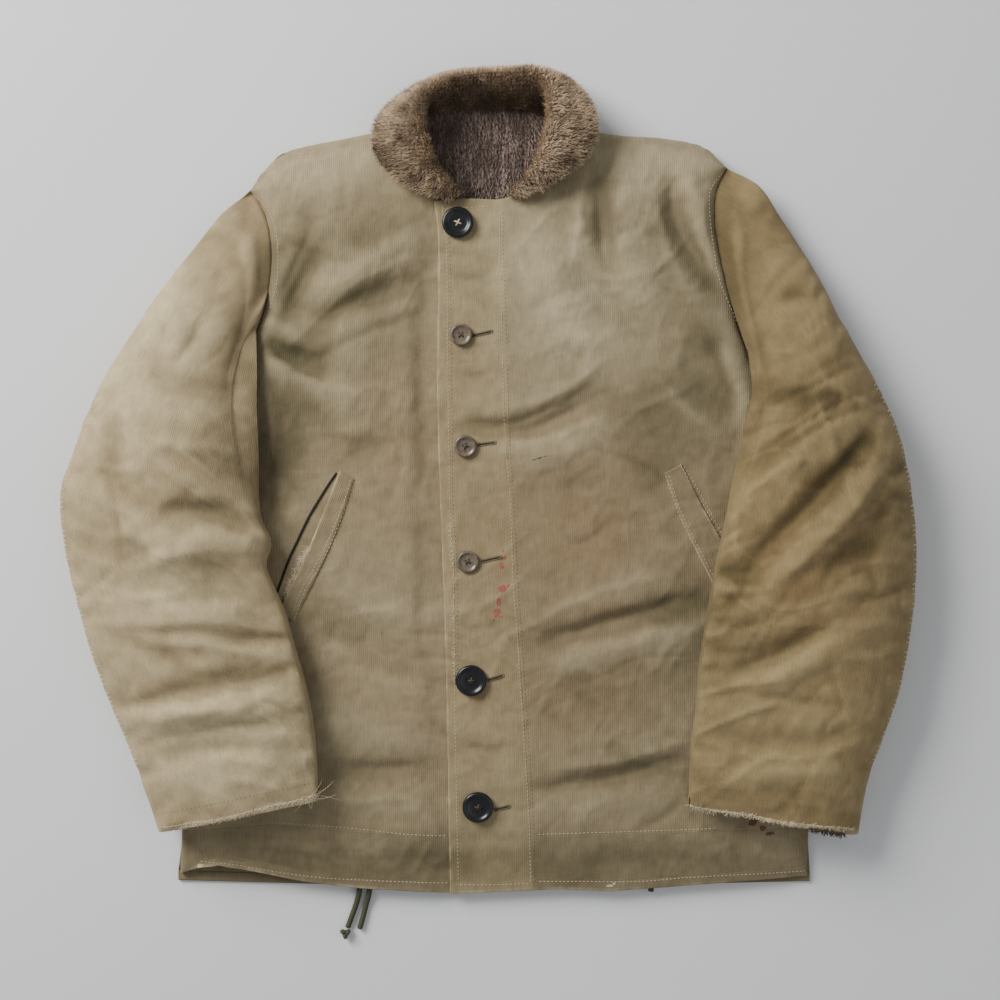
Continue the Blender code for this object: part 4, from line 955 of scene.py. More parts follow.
def cloth_material(name, tint=(1.0, 1.0, 1.0), rib=0.0018, rib_depth=1.0):
    """Ribbed cotton, sun-faded, darkened and browned in places, with painted highlight among the faded places
    and painted shade among the darkened ones.
    """
    surface, tree, shader = nodes_of(name)
    uv = node(tree, "ShaderNodeUVMap", uv_map="cloth").outputs[0]
    place = node(tree, "ShaderNodeTexCoord").outputs["Object"]
    marks = node(tree, "ShaderNodeAttribute", attribute_name="wear_and_painted_light")
    split = node(tree, "ShaderNodeSeparateColor", [("Color", marks.outputs["Color"])])
    blotches = node(tree, "ShaderNodeTexNoise", [("Vector", place), ("Scale", 14.0), ("Detail", 5.0),
                                                 ("Roughness", 0.6)]).outputs[0]
    mottle = node(tree, "ShaderNodeTexNoise", [("Vector", place), ("Scale", 75.0), ("Detail", 4.0),
                                               ("Roughness", 0.6)]).outputs[0]
    stretched = node(tree, "ShaderNodeMapping", [("Vector", uv), ("Scale", (900.0, 60.0, 1.0))]).outputs[0]
    slub = node(tree, "ShaderNodeTexNoise", [("Vector", stretched), ("Scale", 1.0), ("Detail", 2.0)])
    slub = slub.outputs[0]
    grain = node(tree, "ShaderNodeTexNoise", [("Vector", uv), ("Scale", 1500.0), ("Detail", 2.0)]).outputs[0]

    def share(socket, spread=0.5):
        """A share of one mark, broken up by blotches."""
        uneven = maths(tree, "MULTIPLY_ADD", maths(tree, "SUBTRACT", blotches, 0.5), 2.0 * spread, 1.0)
        return node(tree, "ShaderNodeClamp", [("Value", maths(tree, "MULTIPLY", socket, uneven))]).outputs[0]

    def tinted(shade):
        """A shade of the shell, scaled by this piece's tint."""
        return tuple(value * part for value, part in zip(shade, tint))

    colour = mixed(tree, share(split.outputs["Blue"]), tinted(SHELL), tinted(SHELL_BROWN))
    # Darkened: dirt and painted shade
    colour = mixed(tree, share(split.outputs["Green"]), colour, tinted(SHELL_DARK))
    # Faded: sun-fading, worn ridges and painted highlight
    colour = mixed(tree, share(split.outputs["Red"]), colour, tinted(SHELL_FADED))
    edge = node(tree, "ShaderNodeClamp", [("Value", maths(tree, "MULTIPLY", marks.outputs["Alpha"],
                maths(tree, "MULTIPLY", mottle, 1.6)))]).outputs[0]
    colour = mixed(tree, edge, colour, tuple(value * 1.25 for value in SHELL_FADED))
    # Small unevenness of the dye, slubs along the ribs, and the shade between the ribs
    uneven = node(tree, "ShaderNodeMapRange", [("Value", mottle), ("From Min", 0.25), ("From Max", 0.75),
                                               ("To Min", 0.86), ("To Max", 1.14)]).outputs[0]
    streak = node(tree, "ShaderNodeMapRange", [("Value", slub), ("From Min", 0.3), ("From Max", 0.7),
                                               ("To Min", 0.90), ("To Max", 1.08)]).outputs[0]
    across = node(tree, "ShaderNodeSeparateXYZ", [("Vector", uv)]).outputs[0]
    wave = maths(tree, "SINE", maths(tree, "MULTIPLY", across, 2 * math.pi / rib))
    ridge = maths(tree, "MULTIPLY_ADD", wave, 0.5, 0.5)
    shade = node(tree, "ShaderNodeMapRange", [("Value", ridge), ("To Min", 1.0 - 0.08 * rib_depth),
                                              ("To Max", 1.0 + 0.03 * rib_depth)]).outputs[0]
    factor = maths(tree, "MULTIPLY", maths(tree, "MULTIPLY", uneven, streak), shade)
    value = node(tree, "ShaderNodeVectorMath", [(0, colour), (1, factor)], operation="MULTIPLY")
    tree.links.new(value.outputs[0], shader.inputs["Base Color"])
    height = maths(tree, "MULTIPLY_ADD", ridge, 0.45 * rib_depth, maths(tree, "MULTIPLY", grain, 0.8))
    height = maths(tree, "MULTIPLY_ADD", mottle, 2.4, height)
    height = maths(tree, "MULTIPLY_ADD", blotches, 3.0, height)
    bump = node(tree, "ShaderNodeBump", [("Strength", 0.6), ("Distance", 0.0004), ("Height", height)])
    tree.links.new(bump.outputs[0], shader.inputs["Normal"])
    shader.inputs["Roughness"].default_value = 0.92
    shader.inputs["Sheen Weight"].default_value = 0.12
    shader.inputs["Sheen Roughness"].default_value = 0.5
    shader.inputs["Specular IOR Level"].default_value = 0.15
    return surface


def plain_material(name, colour, roughness=0.85, bump=0.0, scale=900.0, vary=0.15, sheen=0.0):
    """A surface of one colour with a little unevenness."""
    surface, tree, shader = nodes_of(name)
    place = node(tree, "ShaderNodeTexCoord").outputs["Object"]
    grain = node(tree, "ShaderNodeTexNoise", [("Vector", place), ("Scale", scale), ("Detail", 3.0)])
    grain = grain.outputs[0]
    factor = node(tree, "ShaderNodeMapRange", [("Value", grain), ("From Min", 0.3), ("From Max", 0.7),
                                               ("To Min", 1.0 - vary), ("To Max", 1.0 + vary)]).outputs[0]
    value = node(tree, "ShaderNodeVectorMath", [(0, (*colour,)), (1, factor)], operation="MULTIPLY")
    tree.links.new(value.outputs[0], shader.inputs["Base Color"])
    if bump:
        made = node(tree, "ShaderNodeBump", [("Strength", 0.6), ("Distance", bump), ("Height", grain)])
        tree.links.new(made.outputs[0], shader.inputs["Normal"])
    shader.inputs["Roughness"].default_value = roughness
    shader.inputs["Sheen Weight"].default_value = sheen
    return surface


def pile_material(name, dark, light, rough=0.95):
    """Strands of pile: each has its own tone, with painted shade that darkens it at its root and lightens it
    towards its tip.
    """
    surface, tree, shader = nodes_of(name)
    marks = node(tree, "ShaderNodeAttribute", attribute_name="tone")
    split = node(tree, "ShaderNodeSeparateColor", [("Color", marks.outputs["Color"])])
    colour = mixed(tree, split.outputs["Red"], dark, light)
    # Painted shade along each strand: darker at the root, lighter at the tip
    shade = node(tree, "ShaderNodeMapRange", [("Value", split.outputs["Green"]), ("To Min", 0.55),
                                              ("To Max", 1.15)]).outputs[0]
    value = node(tree, "ShaderNodeVectorMath", [(0, colour), (1, shade)], operation="MULTIPLY")
    tree.links.new(value.outputs[0], shader.inputs["Base Color"])
    shader.inputs["Roughness"].default_value = rough
    shader.inputs["Specular IOR Level"].default_value = 0.1
    shader.inputs["Sheen Weight"].default_value = 0.05
    return surface


FRONT_CLOTH = cloth_material("front_cloth")
SLEEVE_CLOTHS = {
    "right": cloth_material("sleeve_right_cloth", (1.19, 1.15, 1.09)),
    "left": cloth_material("sleeve_left_cloth", (0.86, 0.785, 0.63)),
}
PLACKET_CLOTH = cloth_material("placket_cloth", (1.10, 1.10, 1.06))
BAND_CLOTH = cloth_material("band_cloth", (0.84, 0.84, 0.84), 0.0018, 0.7)
TAPE_CLOTH = cloth_material("tape_cloth", (0.80, 0.80, 0.80), 0.0012, 0.5)
LINING = plain_material("lining", (0.120, 0.085, 0.068), 0.95, 0.001, 300.0, 0.35)
PILE_BASE = plain_material("pile_base", (0.150, 0.100, 0.062), 0.95, 0.002, 160.0, 0.4)
COLLAR_PILE_SURFACE = pile_material("collar_pile", (0.170, 0.112, 0.070), (0.800, 0.600, 0.390))
LINING_PILE_SURFACE = pile_material("lining_pile", (0.200, 0.140, 0.112), (0.760, 0.590, 0.490))
BLACK = plain_material("button_black", (0.008, 0.008, 0.009), 0.28, 0.0, 200.0, 0.2)
BROWN = plain_material("button_brown", (0.150, 0.112, 0.078), 0.24, 0.0, 350.0, 0.35)
CORD_SURFACE = plain_material("cord", (0.062, 0.060, 0.030), 0.85, 0.0003, 1500.0, 0.3)
PALE_THREAD = plain_material("pale_thread", THREAD_PALE, 0.8, 0.0, 900.0, 0.2)
SHADED_THREAD = plain_material("shaded_thread", THREAD_SHADED, 0.8, 0.0, 900.0, 0.2)
DARK_THREAD = plain_material("dark_thread", THREAD_DARK, 0.8, 0.0, 900.0, 0.2)
# Near-black painted shade for the gaps of the buttonhole slits and the pocket mouth
SLIT_SHADE = plain_material("slit", (0.020, 0.015, 0.010), 0.95)
RED = plain_material("red_paint", (0.330, 0.105, 0.070), 0.9, 0.0, 900.0, 0.35)
RUST = plain_material("rust_stain", (0.150, 0.070, 0.045), 0.9, 0.0, 500.0, 0.4)


class Ground:
    """Heights and directions of finished pieces, read straight down."""

    def __init__(self, *pieces):
        self.trees = []
        for piece in pieces:
            shape = bmesh.new()
            shape.from_mesh(piece.data)
            self.trees.append(BVHTree.FromBMesh(shape))
            shape.free()

    def hit(self, x, y):
        """Height and normal of the highest surface at one place."""
        best, up = 0.0, Vector((0.0, 0.0, 1.0))
        for tree in self.trees:
            place, normal, _, _ = tree.ray_cast(Vector((x * MM, y * MM, 1.0)), Vector((0.0, 0.0, -1.0)))
            if place is not None and place.z / MM > best:
                best = place.z / MM
                up = normal if normal.z > 0 else -normal
        return best, up

    def at(self, x, y):
        """The highest surface at one place, or 0 where there is only the floor."""
        return self.hit(x, y)[0]

    def over(self, x, y, reach):
        """The highest surface within a reach of the place."""
        around = [self.at(x, y)]
        for k in range(8):
            angle = k * math.pi / 4
            for share in (0.5, 1.0):
                off = reach * share
                around.append(self.at(x + off * math.cos(angle), y + off * math.sin(angle)))
        return max(around)


def build_fronts():
    """The fronts, the placket, the hem bands and the hem's tape."""
    plan = body_grid()
    x, y = plan[..., 0], plan[..., 1]
    z = body_height(x, y, border_line(plan))
    edge_line = [tuple(point) for point in plan[::6, EDGE_COLUMN]]
    near_edge, _ = beside(x, y, edge_line)
    worn = 0.6 * np.exp(-((near_edge / 1.2) ** 2))
    hem_gap = np.abs(y - plan[0, :, 1][None, :])
    worn = np.maximum(worn, 0.6 * np.exp(-((hem_gap / 1.6) ** 2)))
    marks = fold_wear_and_shade(wear_and_painted_light(x, y, worn), z, *FRONT_RELIEF)
    uv = np.stack([x, y], axis=-1)
    top = carried(np.dstack([x, y, z]), uv, marks)
    under = top.copy()
    off = plan[:, EDGE_COLUMN, None, 0] - x
    drop = LAP_STEP * (1.0 - ease(off / LAP_RAMP))
    lap = np.arange(plan.shape[1]) <= LAP_COLUMN
    under[..., 2] -= np.where(lap, drop, 0.0)
    seam_rim = [(0.1, 0.9), (0.0, 2.4)]
    free_rim = [(0.35, 0.5), (0.5, 1.2), (0.3, 2.1), (-0.6, 2.6), (-6.0, 2.8)]
    side_rim = [(0.8, 0.9), (1.2, 2.4), (1.1, 4.0), (0.4, 5.4)]
    shoulder_rim = [(0.5, 1.2), (0.7, 3.0), (0.5, 5.5), (0.0, 8.5)]
    pieces = {}

    def cut(name, grid, rows, columns, rims, surface, replaced, slot):
        piece = grid[rows, columns]
        for side, steps in rims:
            piece = with_rim(piece, side, steps)
        pieces[name] = shell(name, piece, surface, replaced, slot)

    cut("front_right_cloth", under, np.s_[BAND_ROW:], np.s_[:LAP_COLUMN + 1],
        [("left", side_rim), ("bottom", seam_rim), ("top", shoulder_rim)], FRONT_CLOTH,
        ["front_right"], "shell_cloth")
    cut("front_left_cloth", top, np.s_[BAND_ROW:], np.s_[SEAM_COLUMN:],
        [("right", side_rim), ("left", seam_rim), ("bottom", seam_rim), ("top", shoulder_rim)], FRONT_CLOTH,
        ["front_left"], "shell_cloth")
    cut("placket_cloth", top, np.s_[:], np.s_[EDGE_COLUMN:SEAM_COLUMN + 1],
        [("left", free_rim), ("right", seam_rim), ("bottom", free_rim), ("top", free_rim)], PLACKET_CLOTH,
        ["placket"], "shell_cloth")
    cut("hem_band_right_cloth", under, np.s_[TAPE_ROW:BAND_ROW + 1], np.s_[:LAP_COLUMN + 1],
        [("left", side_rim), ("top", seam_rim), ("bottom", seam_rim)], BAND_CLOTH,
        ["hem_band_right"], "shell_cloth")
    cut("hem_band_left_cloth", top, np.s_[TAPE_ROW:BAND_ROW + 1], np.s_[SEAM_COLUMN:],
        [("right", side_rim), ("left", seam_rim), ("top", seam_rim), ("bottom", seam_rim)], BAND_CLOTH,
        ["hem_band_left"], "shell_cloth")
    cut("hem_tape_right", under, np.s_[:TAPE_ROW + 1], np.s_[:LAP_COLUMN + 1],
        [("left", side_rim), ("bottom", free_rim), ("top", seam_rim)], TAPE_CLOTH, ["hem_binding_right"],
        "shell_cloth")
    cut("hem_tape_left", top, np.s_[:TAPE_ROW + 1], np.s_[SEAM_COLUMN:],
        [("right", side_rim), ("left", seam_rim), ("bottom", free_rim), ("top", seam_rim)], TAPE_CLOTH,
        ["hem_binding_left"], "shell_cloth")
    return plan, top, pieces


def straight(points, shares):
    """Places at the given shares of the length of the straight lines through the points."""
    run = np.concatenate([[0.0], np.cumsum(np.linalg.norm(np.diff(points[:, :2], axis=0), axis=1))])
    return np.column_stack([np.interp(shares * run[-1], run, points[:, k]) for k in range(3)])


def settled(heights):
    """Eases the steps in a grid of heights, never lowering a point."""
    smooth = heights.copy()
    for _ in range(4):
        padded = np.pad(smooth, 1, mode="edge")
        side = (padded[:-2, 1:-1] + padded[2:, 1:-1] + padded[1:-1, :-2] + padded[1:-1, 2:]) / 4
        smooth = np.maximum(smooth, side)
    return smooth


def finer(grid, rows, columns):
    """A smooth grid through a coarse one, at fractional rows and columns."""

    def smooth_along(values, wanted):
        padded = np.concatenate([2 * values[:1] - values[1:2], values, 2 * values[-1:] - values[-2:-1]])
        i = np.minimum(np.floor(wanted).astype(int), len(values) - 2)
        t = (wanted - i).reshape((-1,) + (1,) * (values.ndim - 1))
        a, b, c, d = (padded[i + k] for k in range(4))
        cubic = 3 * b - a - 3 * c + d
        square = 2 * a - 5 * b + 4 * c - d
        return b + 0.5 * ((c - a) * t + square * t**2 + cubic * t**3)

    tall = smooth_along(grid, rows)
    return smooth_along(tall.swapaxes(0, 1), columns).swapaxes(0, 1)


def fanned_out(plan):
    """Evens out a plan at the underarm, where the armhole seam and the inner edge part in opposite ways."""
    plan = plan.copy()
    row, column = np.meshgrid(np.arange(1, FAN_ROWS), np.arange(1, FAN_COLUMNS), indexing="ij")
    share = np.exp(-(row**2 / 18.0 + column**2 / 9.0))[..., None]
    for _ in range(FAN_STEPS):
        around = (plan[:FAN_ROWS - 1, 1:FAN_COLUMNS] + plan[2:FAN_ROWS + 1, 1:FAN_COLUMNS]
                  + plan[1:FAN_ROWS, :FAN_COLUMNS - 1] + plan[1:FAN_ROWS, 2:FAN_COLUMNS + 1]) / 4
        inside = plan[1:FAN_ROWS, 1:FAN_COLUMNS]
        plan[1:FAN_ROWS, 1:FAN_COLUMNS] = inside + (around - inside) * share
    outward = math.copysign(FAN_PUSH, plan[SLEEVE_ROWS // 2, -1, 0] - plan[SLEEVE_ROWS // 2, 0, 0])
    plan[1:FAN_ROWS, 1:FAN_COLUMNS, 0] += outward * np.exp(-((row - 3) / 3.2) ** 2 - (column / 5.0) ** 4)
    return plan


def build_sleeve(side, table, creases, top, ground):
    """Top sleeve, under sleeve and the pile inside the cuff."""
    border = top[BAND_ROW:, 0 if side == "right" else -1, 0:3]
    low_y = table[0][3]
    first_point = np.array([np.interp(low_y, border[:, 1], border[:, k]) for k in range(3)])
    seam = np.vstack([first_point, border[border[:, 1] > low_y + 2.0]])
    stations = np.array(table, float)
    shares = np.linspace(0.0, 1.0, SLEEVE_ROWS + 1)
    outer = along(stations[:, 0:2], shares)
    inner = along(stations[:, 2:4], shares)
    crown = np.interp(shares, np.linspace(0.0, 1.0, len(stations)), stations[:, 4])
    turn = np.linspace(0.0, math.pi, SLEEVE_COLUMNS + 1)
    share = (1.0 - np.cos(turn)) / 2
    plan = inner[:, None, :] * (1 - share[None, :, None]) + outer[:, None, :] * share[None, :, None]
    first = straight(seam, share)
    fade = (1.0 - ease(shares / ARMHOLE_REACH))[:, None, None]
    plan = fanned_out(plan + (first[:, :2] - plan[0])[None] * fade)
    fade, seam_height = fade[:, :, 0], first[:, 2]
    below = np.array([[ground.over(px, py, UNDER_REACH) for px, py in row] for row in plan])
    below = settled(np.where(below > 0.0, below + BODY_CLEARANCE, 0.0))
    below[0] = (seam_height + SEAM_LIFT) * (1.0 - ease((share - 0.15) / 0.4))
    inner_edge = below[:, :1] + SLEEVE_EDGE * (1 - fade)
    outer_edge = below[:, -1:] + SLEEVE_EDGE * (1 - 0.6 * fade)
    middle = inner_edge * (1 - share) + outer_edge * share
    sine = np.sin(turn)[None, :]
    middle = np.maximum(middle, below + 1.0 + SLEEVE_ROOM * sine**0.4 * (1 - fade))

    # The same lines at a finer pitch
    mouth_rows = SLEEVE_ROWS - np.array([0.09, 0.05, 0.02, 0])
    fine_rows = np.concatenate([np.linspace(0, SLEEVE_ROWS, 150)[:-1], mouth_rows])
    fine_columns = np.linspace(0, SLEEVE_COLUMNS, 86)
    coarse = np.dstack([plan, middle, below, np.broadcast_to(fade, below.shape),
                        np.broadcast_to(crown[:, None], below.shape),
                        np.broadcast_to(seam_height[None, :], below.shape)])
    fine = finer(coarse, fine_rows, fine_columns)
    x, y, middle, below, fade, crown_height, seam_z = (fine[..., k] for k in range(7))
    below = np.maximum(below, 0.2)
    fade = np.clip(fade, 0.0, 1.0)
    angle = fine_columns / SLEEVE_COLUMNS * math.pi
    sine = np.sin(angle)[None, :]
    swell = sine**0.72
    high = middle + (crown_height - middle) * swell
    high = high + SLEEVE_FOLD_DEPTH * folds(x, y, creases) * sine**0.5 * (1 - fade)
    near_seam = np.maximum(seam_z + (crown_height - crown[0]) * swell, middle + CLOTH + 1.0)
    high = high * (1 - fade) + fade * near_seam
    low = middle + (below - middle) * sine**0.4

    # Puckers run in from the outer seam
    outer_run = np.concatenate([[0.0], np.cumsum(np.hypot(*np.diff(fine[:, -1, :2], axis=0).T))])[:, None]
    from_outer = np.hypot(x - x[:, -1:], y - y[:, -1:])
    gather = noise(outer_run + 0.25 * from_outer, from_outer * 0.25, 9.0, 41 if side == "right" else 42)
    from_inner = np.hypot(x - x[:, :1], y - y[:, :1])
    inner_gather = noise(outer_run - 0.2 * from_inner, from_inner * 0.3, 12.0, 43)
    pucker = 3.4 * gather * np.exp(-((from_outer / 20.0) ** 2))
    pucker += 1.8 * inner_gather * np.exp(-((from_inner / 18.0) ** 2))
    seed = 21 if side == "right" else 26
    lean = -12.0 if side == "right" else 14.0
    creased = 2.6 * wrinkled(x, y, 10 * seed, 90.0, 30.0, lean)
    creased -= 2.8 * wrinkled(x, y, 11 * seed, 80.0, 26.0, lean + 12)
    creased += 1.5 * wrinkled(x, y, 12 * seed, 50.0, 15.0, lean - 20)
    creased -= 1.3 * wrinkled(x, y, 13 * seed, 40.0, 12.0, lean + 35)
    crumpled = crumple(x, y, seed, 0.9, 0.4)
    high = high + (pucker + creased + crumpled) * np.clip(1 - fade, 0.2, 1) * sine**0.35
    run = outer_run * np.ones_like(x)
    steps = np.hypot(np.diff(x), np.hypot(np.diff(y), np.diff(high)))
    around = np.concatenate([np.zeros((len(x), 1)), np.cumsum(steps, axis=1)], axis=1)
    around = around - around.mean(axis=1, keepdims=True)
    cuff_gap = (fine_rows[-1] - fine_rows)[:, None] * 29.0
    worn = 0.9 * np.exp(-((cuff_gap / 3.0) ** 2)) * np.ones_like(x)
    marks = fold_wear_and_shade(wear_and_painted_light(x, y, worn), high, *SLEEVE_RELIEF)
    uv = np.dstack([around, run])
    top_grid = carried(np.dstack([x, y, high]), uv, marks)
    under_grid = carried(np.dstack([x, y, low]), uv, marks)
    seam_rim = [(-0.3, 1.2), (-0.8, 3.2)]
    mouth_rim = [(0.3, 0.4), (0.5, 1.2), (0.3, 2.2), (-0.8, 2.8), (-8.0, 3.0)]
    flip = side == "right"
    top_piece = with_rim(with_rim(top_grid, "bottom", seam_rim), "top", mouth_rim)
    made_top = shell("sleeve_top_%s_cloth" % side, top_piece, SLEEVE_CLOTHS[side], ["sleeve_top_" + side],
                     "shell_cloth", flip=flip)
    every = np.s_[::2, ::2]
    under_piece = with_rim(under_grid[every], "top", [(0.0, -1.2), (-1.0, -2.6), (-8.0, -3.0)])
    shell("sleeve_under_%s_cloth" % side, under_piece, SLEEVE_CLOTHS[side], ["sleeve_under_" + side],
          "shell_cloth", flip=not flip)

    # The pile inside the cuff, as a tube that stops short of the mouth
    rows = np.s_[-26:-3:2]
    centre = fine[..., :2].mean(axis=1, keepdims=True)
    inset = 5.5
    drawn = fine[..., :2] + (centre - fine[..., :2]) * (inset / 90.0) * (np.cos(angle) ** 2)[None, :, None]
    ring_top = np.dstack([drawn, np.maximum(high - inset * sine**0.5, middle + 0.3)])[rows, ::3]
    ring_low = np.dstack([drawn, np.minimum(low + inset * sine**0.5, middle - 0.3)])[rows, ::3]
    ring = np.concatenate([ring_top, ring_low[:, -2:0:-1]], axis=1)
    flat = np.zeros(ring.shape[:2] + (2,))
    dark = np.zeros(ring.shape[:2] + (4,))
    shell("cuff_pile_" + side, carried(ring, flat, dark), LINING, ["cuff_lining_" + side], "pile_lining",
          ring=True, flip=not flip)
    return made_top, fine, high


def collar_faces(ground):
    """The collar's pile side as a grid: its places, and the way that leads out of it."""
    table = np.array(COLLAR, float)
    path = along(table, np.linspace(0.0, 1.0, COLLAR_COLUMNS + 1))
    foot, roll, fall = path[:, 0:2], path[:, 2:5], path[:, 5:8]
    puff = path[:, 8]
    outward = fall[:, :2] - roll[:, :2]
    width = np.linalg.norm(outward, axis=1, keepdims=True)
    outward /= width
    narrow = np.clip(width / COLLAR_NARROW, 0.15, 1.0)
    foot_height = np.array([max(ground.over(*(place + direction * step), 5.0) for step in (0.0, 4.0, 8.0))
                            for place, direction in zip(foot, outward)]) + SEAM_GAP

    def face(depth):
        out = outward * depth * narrow
        middle = foot * 0.45 + roll[:, :2] * 0.55 + out - outward * 2.0
        crown = roll[:, :2] + (fall[:, :2] - roll[:, :2]) * 0.28 + out * 0.3
        lobe = roll[:, :2] + (fall[:, :2] - roll[:, :2]) * 0.68
        lobe_height = roll[:, 2] * 0.45 + fall[:, 2] * 0.55 + puff * 0.8 - depth
        points = [
            np.column_stack([foot + out, foot_height]),
            np.column_stack([middle, foot_height * 0.45 + (roll[:, 2] - 3) * 0.55]),
            np.column_stack([roll[:, :2] + out, roll[:, 2] - 3 - 0.25 * depth]),
            np.column_stack([crown, roll[:, 2] + puff - depth]),
            np.column_stack([lobe, lobe_height]),
            np.column_stack([fall[:, :2] - out * 0.2, fall[:, 2] - depth * 0.9]),
        ]
        section = np.stack(points)
        rows = np.linspace(0.0, 1.0, COLLAR_ROWS + 1)
        sheet = np.stack([along(section[:, k], rows) for k in range(section.shape[1])], axis=1)
        for _ in range(COLLAR_EASING):
            sheet[:, 1:-1] = sheet[:, 1:-1] / 2 + (sheet[:, :-2] + sheet[:, 2:]) / 4
        return sheet

    return face


def build_collar(ground):
    """The collar's base and the shell side under it; returns the grid that the pile grows on."""
    face = collar_faces(ground)
    rows = np.linspace(0, COLLAR_ROWS, 33)
    columns = np.linspace(0, COLLAR_COLUMNS, 181)
    skin = finer(face(3.2), rows, columns)
    x, y = skin[..., 0], skin[..., 1]
    skin[..., 2] += 0.9 * noise(x, y, 11.0, 51) + 0.5 * noise(x, y, 6.0, 52)
    for row in skin[COLLAR_FALL_ROW:]:
        for point in row:
            point[2] = max(point[2], ground.at(point[0], point[1]) + 3.0)
    flat = np.zeros(skin.shape[:2] + (2,))
    none = np.zeros(skin.shape[:2] + (4,))
    shell("collar_base", carried(skin, flat, none), PILE_BASE, ["collar"], "pile_collar")
    under = finer(face(COLLAR_PILE + SEAM_GAP), rows[COLLAR_FALL_ROW:], columns)
    for row in under:
        for point in row:
            point[2] = max(point[2], ground.at(point[0], point[1]) + 0.8)
    round_it = np.linspace(0, 480, under.shape[1])[None]
    down_it = np.linspace(0, 60, under.shape[0])[:, None]
    uv = np.dstack([np.broadcast_to(round_it, under.shape[:2]), np.broadcast_to(down_it, under.shape[:2])])
    shell("collar_under_cloth", carried(under, uv, np.zeros(under.shape[:2] + (4,))), FRONT_CLOTH,
          ["collar_under"], "shell_cloth")
    return skin


def strands(name, roots, normals, comb, surface, slot, length, width, clump, tones, seed, levels=2):
    """Many strands of pile in one mesh, each a narrow blade that bends over and thins to its tip."""
    random = np.random.default_rng(seed)
    count = len(roots)
    long = length * random.uniform(0.7, 1.15, count)[:, None]
    spread = random.normal(0.0, 0.35, (count, 3))
    lean = comb + spread
    up = normals * long
    away = lean * long
    centres = roots[random.integers(0, count, max(1, count // clump))]
    tree_cells = {}
    size = 3.2
    for k, (cx, cy, cz) in enumerate(centres):
        tree_cells.setdefault((int(cx // size), int(cy // size), int(cz // size)), []).append(k)
    pull = np.zeros((count, 3))
    tip = roots + 0.62 * up + 0.75 * away
    for k, root in enumerate(roots):
        cell = tree_cells.get((int(root[0] // size), int(root[1] // size), int(root[2] // size)))
        if cell:
            target = centres[cell[0]] + 0.62 * up[k] + 0.75 * comb[k] * long[k]
            pull[k] = (target - tip[k]) * 0.55
    side = np.cross(normals, random.normal(0.0, 1.0, (count, 3)))
    side /= np.maximum(np.linalg.norm(side, axis=1, keepdims=True), 1e-6)
    points = []
    heights = []
    for level in range(levels):
        t = level / levels
        spine = roots + up * (t - 0.38 * t**2) + away * (0.75 * t**1.7) + pull * t**1.5
        half = side * (width / 2 * (1.0 - 0.35 * t))
        points += [spine - half, spine + half]
        heights += [t, t]
    points.append(tip + pull)
    heights.append(1.0)
    per = 2 * levels + 1
    mesh_points = np.stack(points, axis=1).reshape(-1, 3)
    offset = (np.arange(count) * per)[:, None]
    faces = []
    for level in range(levels - 1):
        a = 2 * level
        faces += [np.hstack([offset + a, offset + a + 1, offset + a + 3]),
                  np.hstack([offset + a, offset + a + 3, offset + a + 2])]
    faces.append(np.hstack([offset + per - 3, offset + per - 2, offset + per - 1]))
    mesh = mesh_from(name, mesh_points, np.concatenate(faces))
    tone = np.repeat(np.clip(tones, 0.0, 1.0), per)
    height = np.tile(heights, count)
    # The second channel is the height along the strand, which the pile material turns into painted shade
    colour = np.column_stack([tone, height, np.zeros_like(tone), np.ones_like(tone)])
    marks = mesh.attributes.new("tone", "FLOAT_COLOR", "POINT")
    marks.data.foreach_set("color", colour.astype(np.float32).ravel())
    return put(name, mesh, surface, (), slot)


def scattered(grid, count, seed, weight=None):
    """Random places on a grid, evenly by area: position, normal, and the two directions of the grid."""
    a, b, c, d = grid[:-1, :-1], grid[:-1, 1:], grid[1:, 1:], grid[1:, :-1]
    normal = np.cross(c - a, d - b)
    area = np.linalg.norm(normal, axis=-1)
    if weight is not None:
        area = area * weight
    random = np.random.default_rng(seed)
    pick = random.choice(area.size, count, p=(area / area.sum()).ravel())
    u, v = random.random((2, count, 1))

    def at(corner):
        return corner.reshape(-1, 3)[pick]

    place = (at(a) * (1 - u) + at(b) * u) * (1 - v) + (at(d) * (1 - u) + at(c) * u) * v
    n = at(normal)
    n = n / np.maximum(np.linalg.norm(n, axis=1, keepdims=True), 1e-9)
    across = at(b) - at(a)
    upward = at(d) - at(a)
    across = across / np.maximum(np.linalg.norm(across, axis=1, keepdims=True), 1e-9)
    upward = upward / np.maximum(np.linalg.norm(upward, axis=1, keepdims=True), 1e-9)
    return place, n, across, upward, pick


def grow_collar(skin):
    """The collar's pile, brushed over the fall and mottled, lighter along its roll line, with painted shade
    near the foot of its stand and painted light on its +X side.
    """
    count = COLLAR_STRANDS[1]
    place, normal, across, upward, pick = scattered(skin, count, 61)
    normal = np.where((normal[:, 2] < -0.3)[:, None], -normal, normal)
    row = pick // (skin.shape[1] - 1) / (skin.shape[0] - 1)
    x, y = place[:, 0], place[:, 1]
    swirl = 0.5 * noise(x, y, 14.0, 62)
    comb = upward * 0.8 + across * swirl[:, None]
    tone = 0.42 + 0.34 * noise(x, y, 12.0, 63) + 0.22 * noise(x, y, 5.0, 64)
    tone += 0.38 * np.exp(-(((row - 0.40) / 0.10) ** 2))
    # Painted shade near the foot of the stand
    tone -= 0.18 * np.exp(-(((row - 0.12) / 0.16) ** 2))
    # Painted light: the +X side of the collar made lighter
    tone += 0.16 * ease(x / 60.0)
    random = np.random.default_rng(65)
    tone += random.normal(0.0, 0.12, count)
    return strands("collar_pile_strands", place, normal, comb, COLLAR_PILE_SURFACE, "pile_collar",
                   5.2, 0.42, 14, tone, 67)


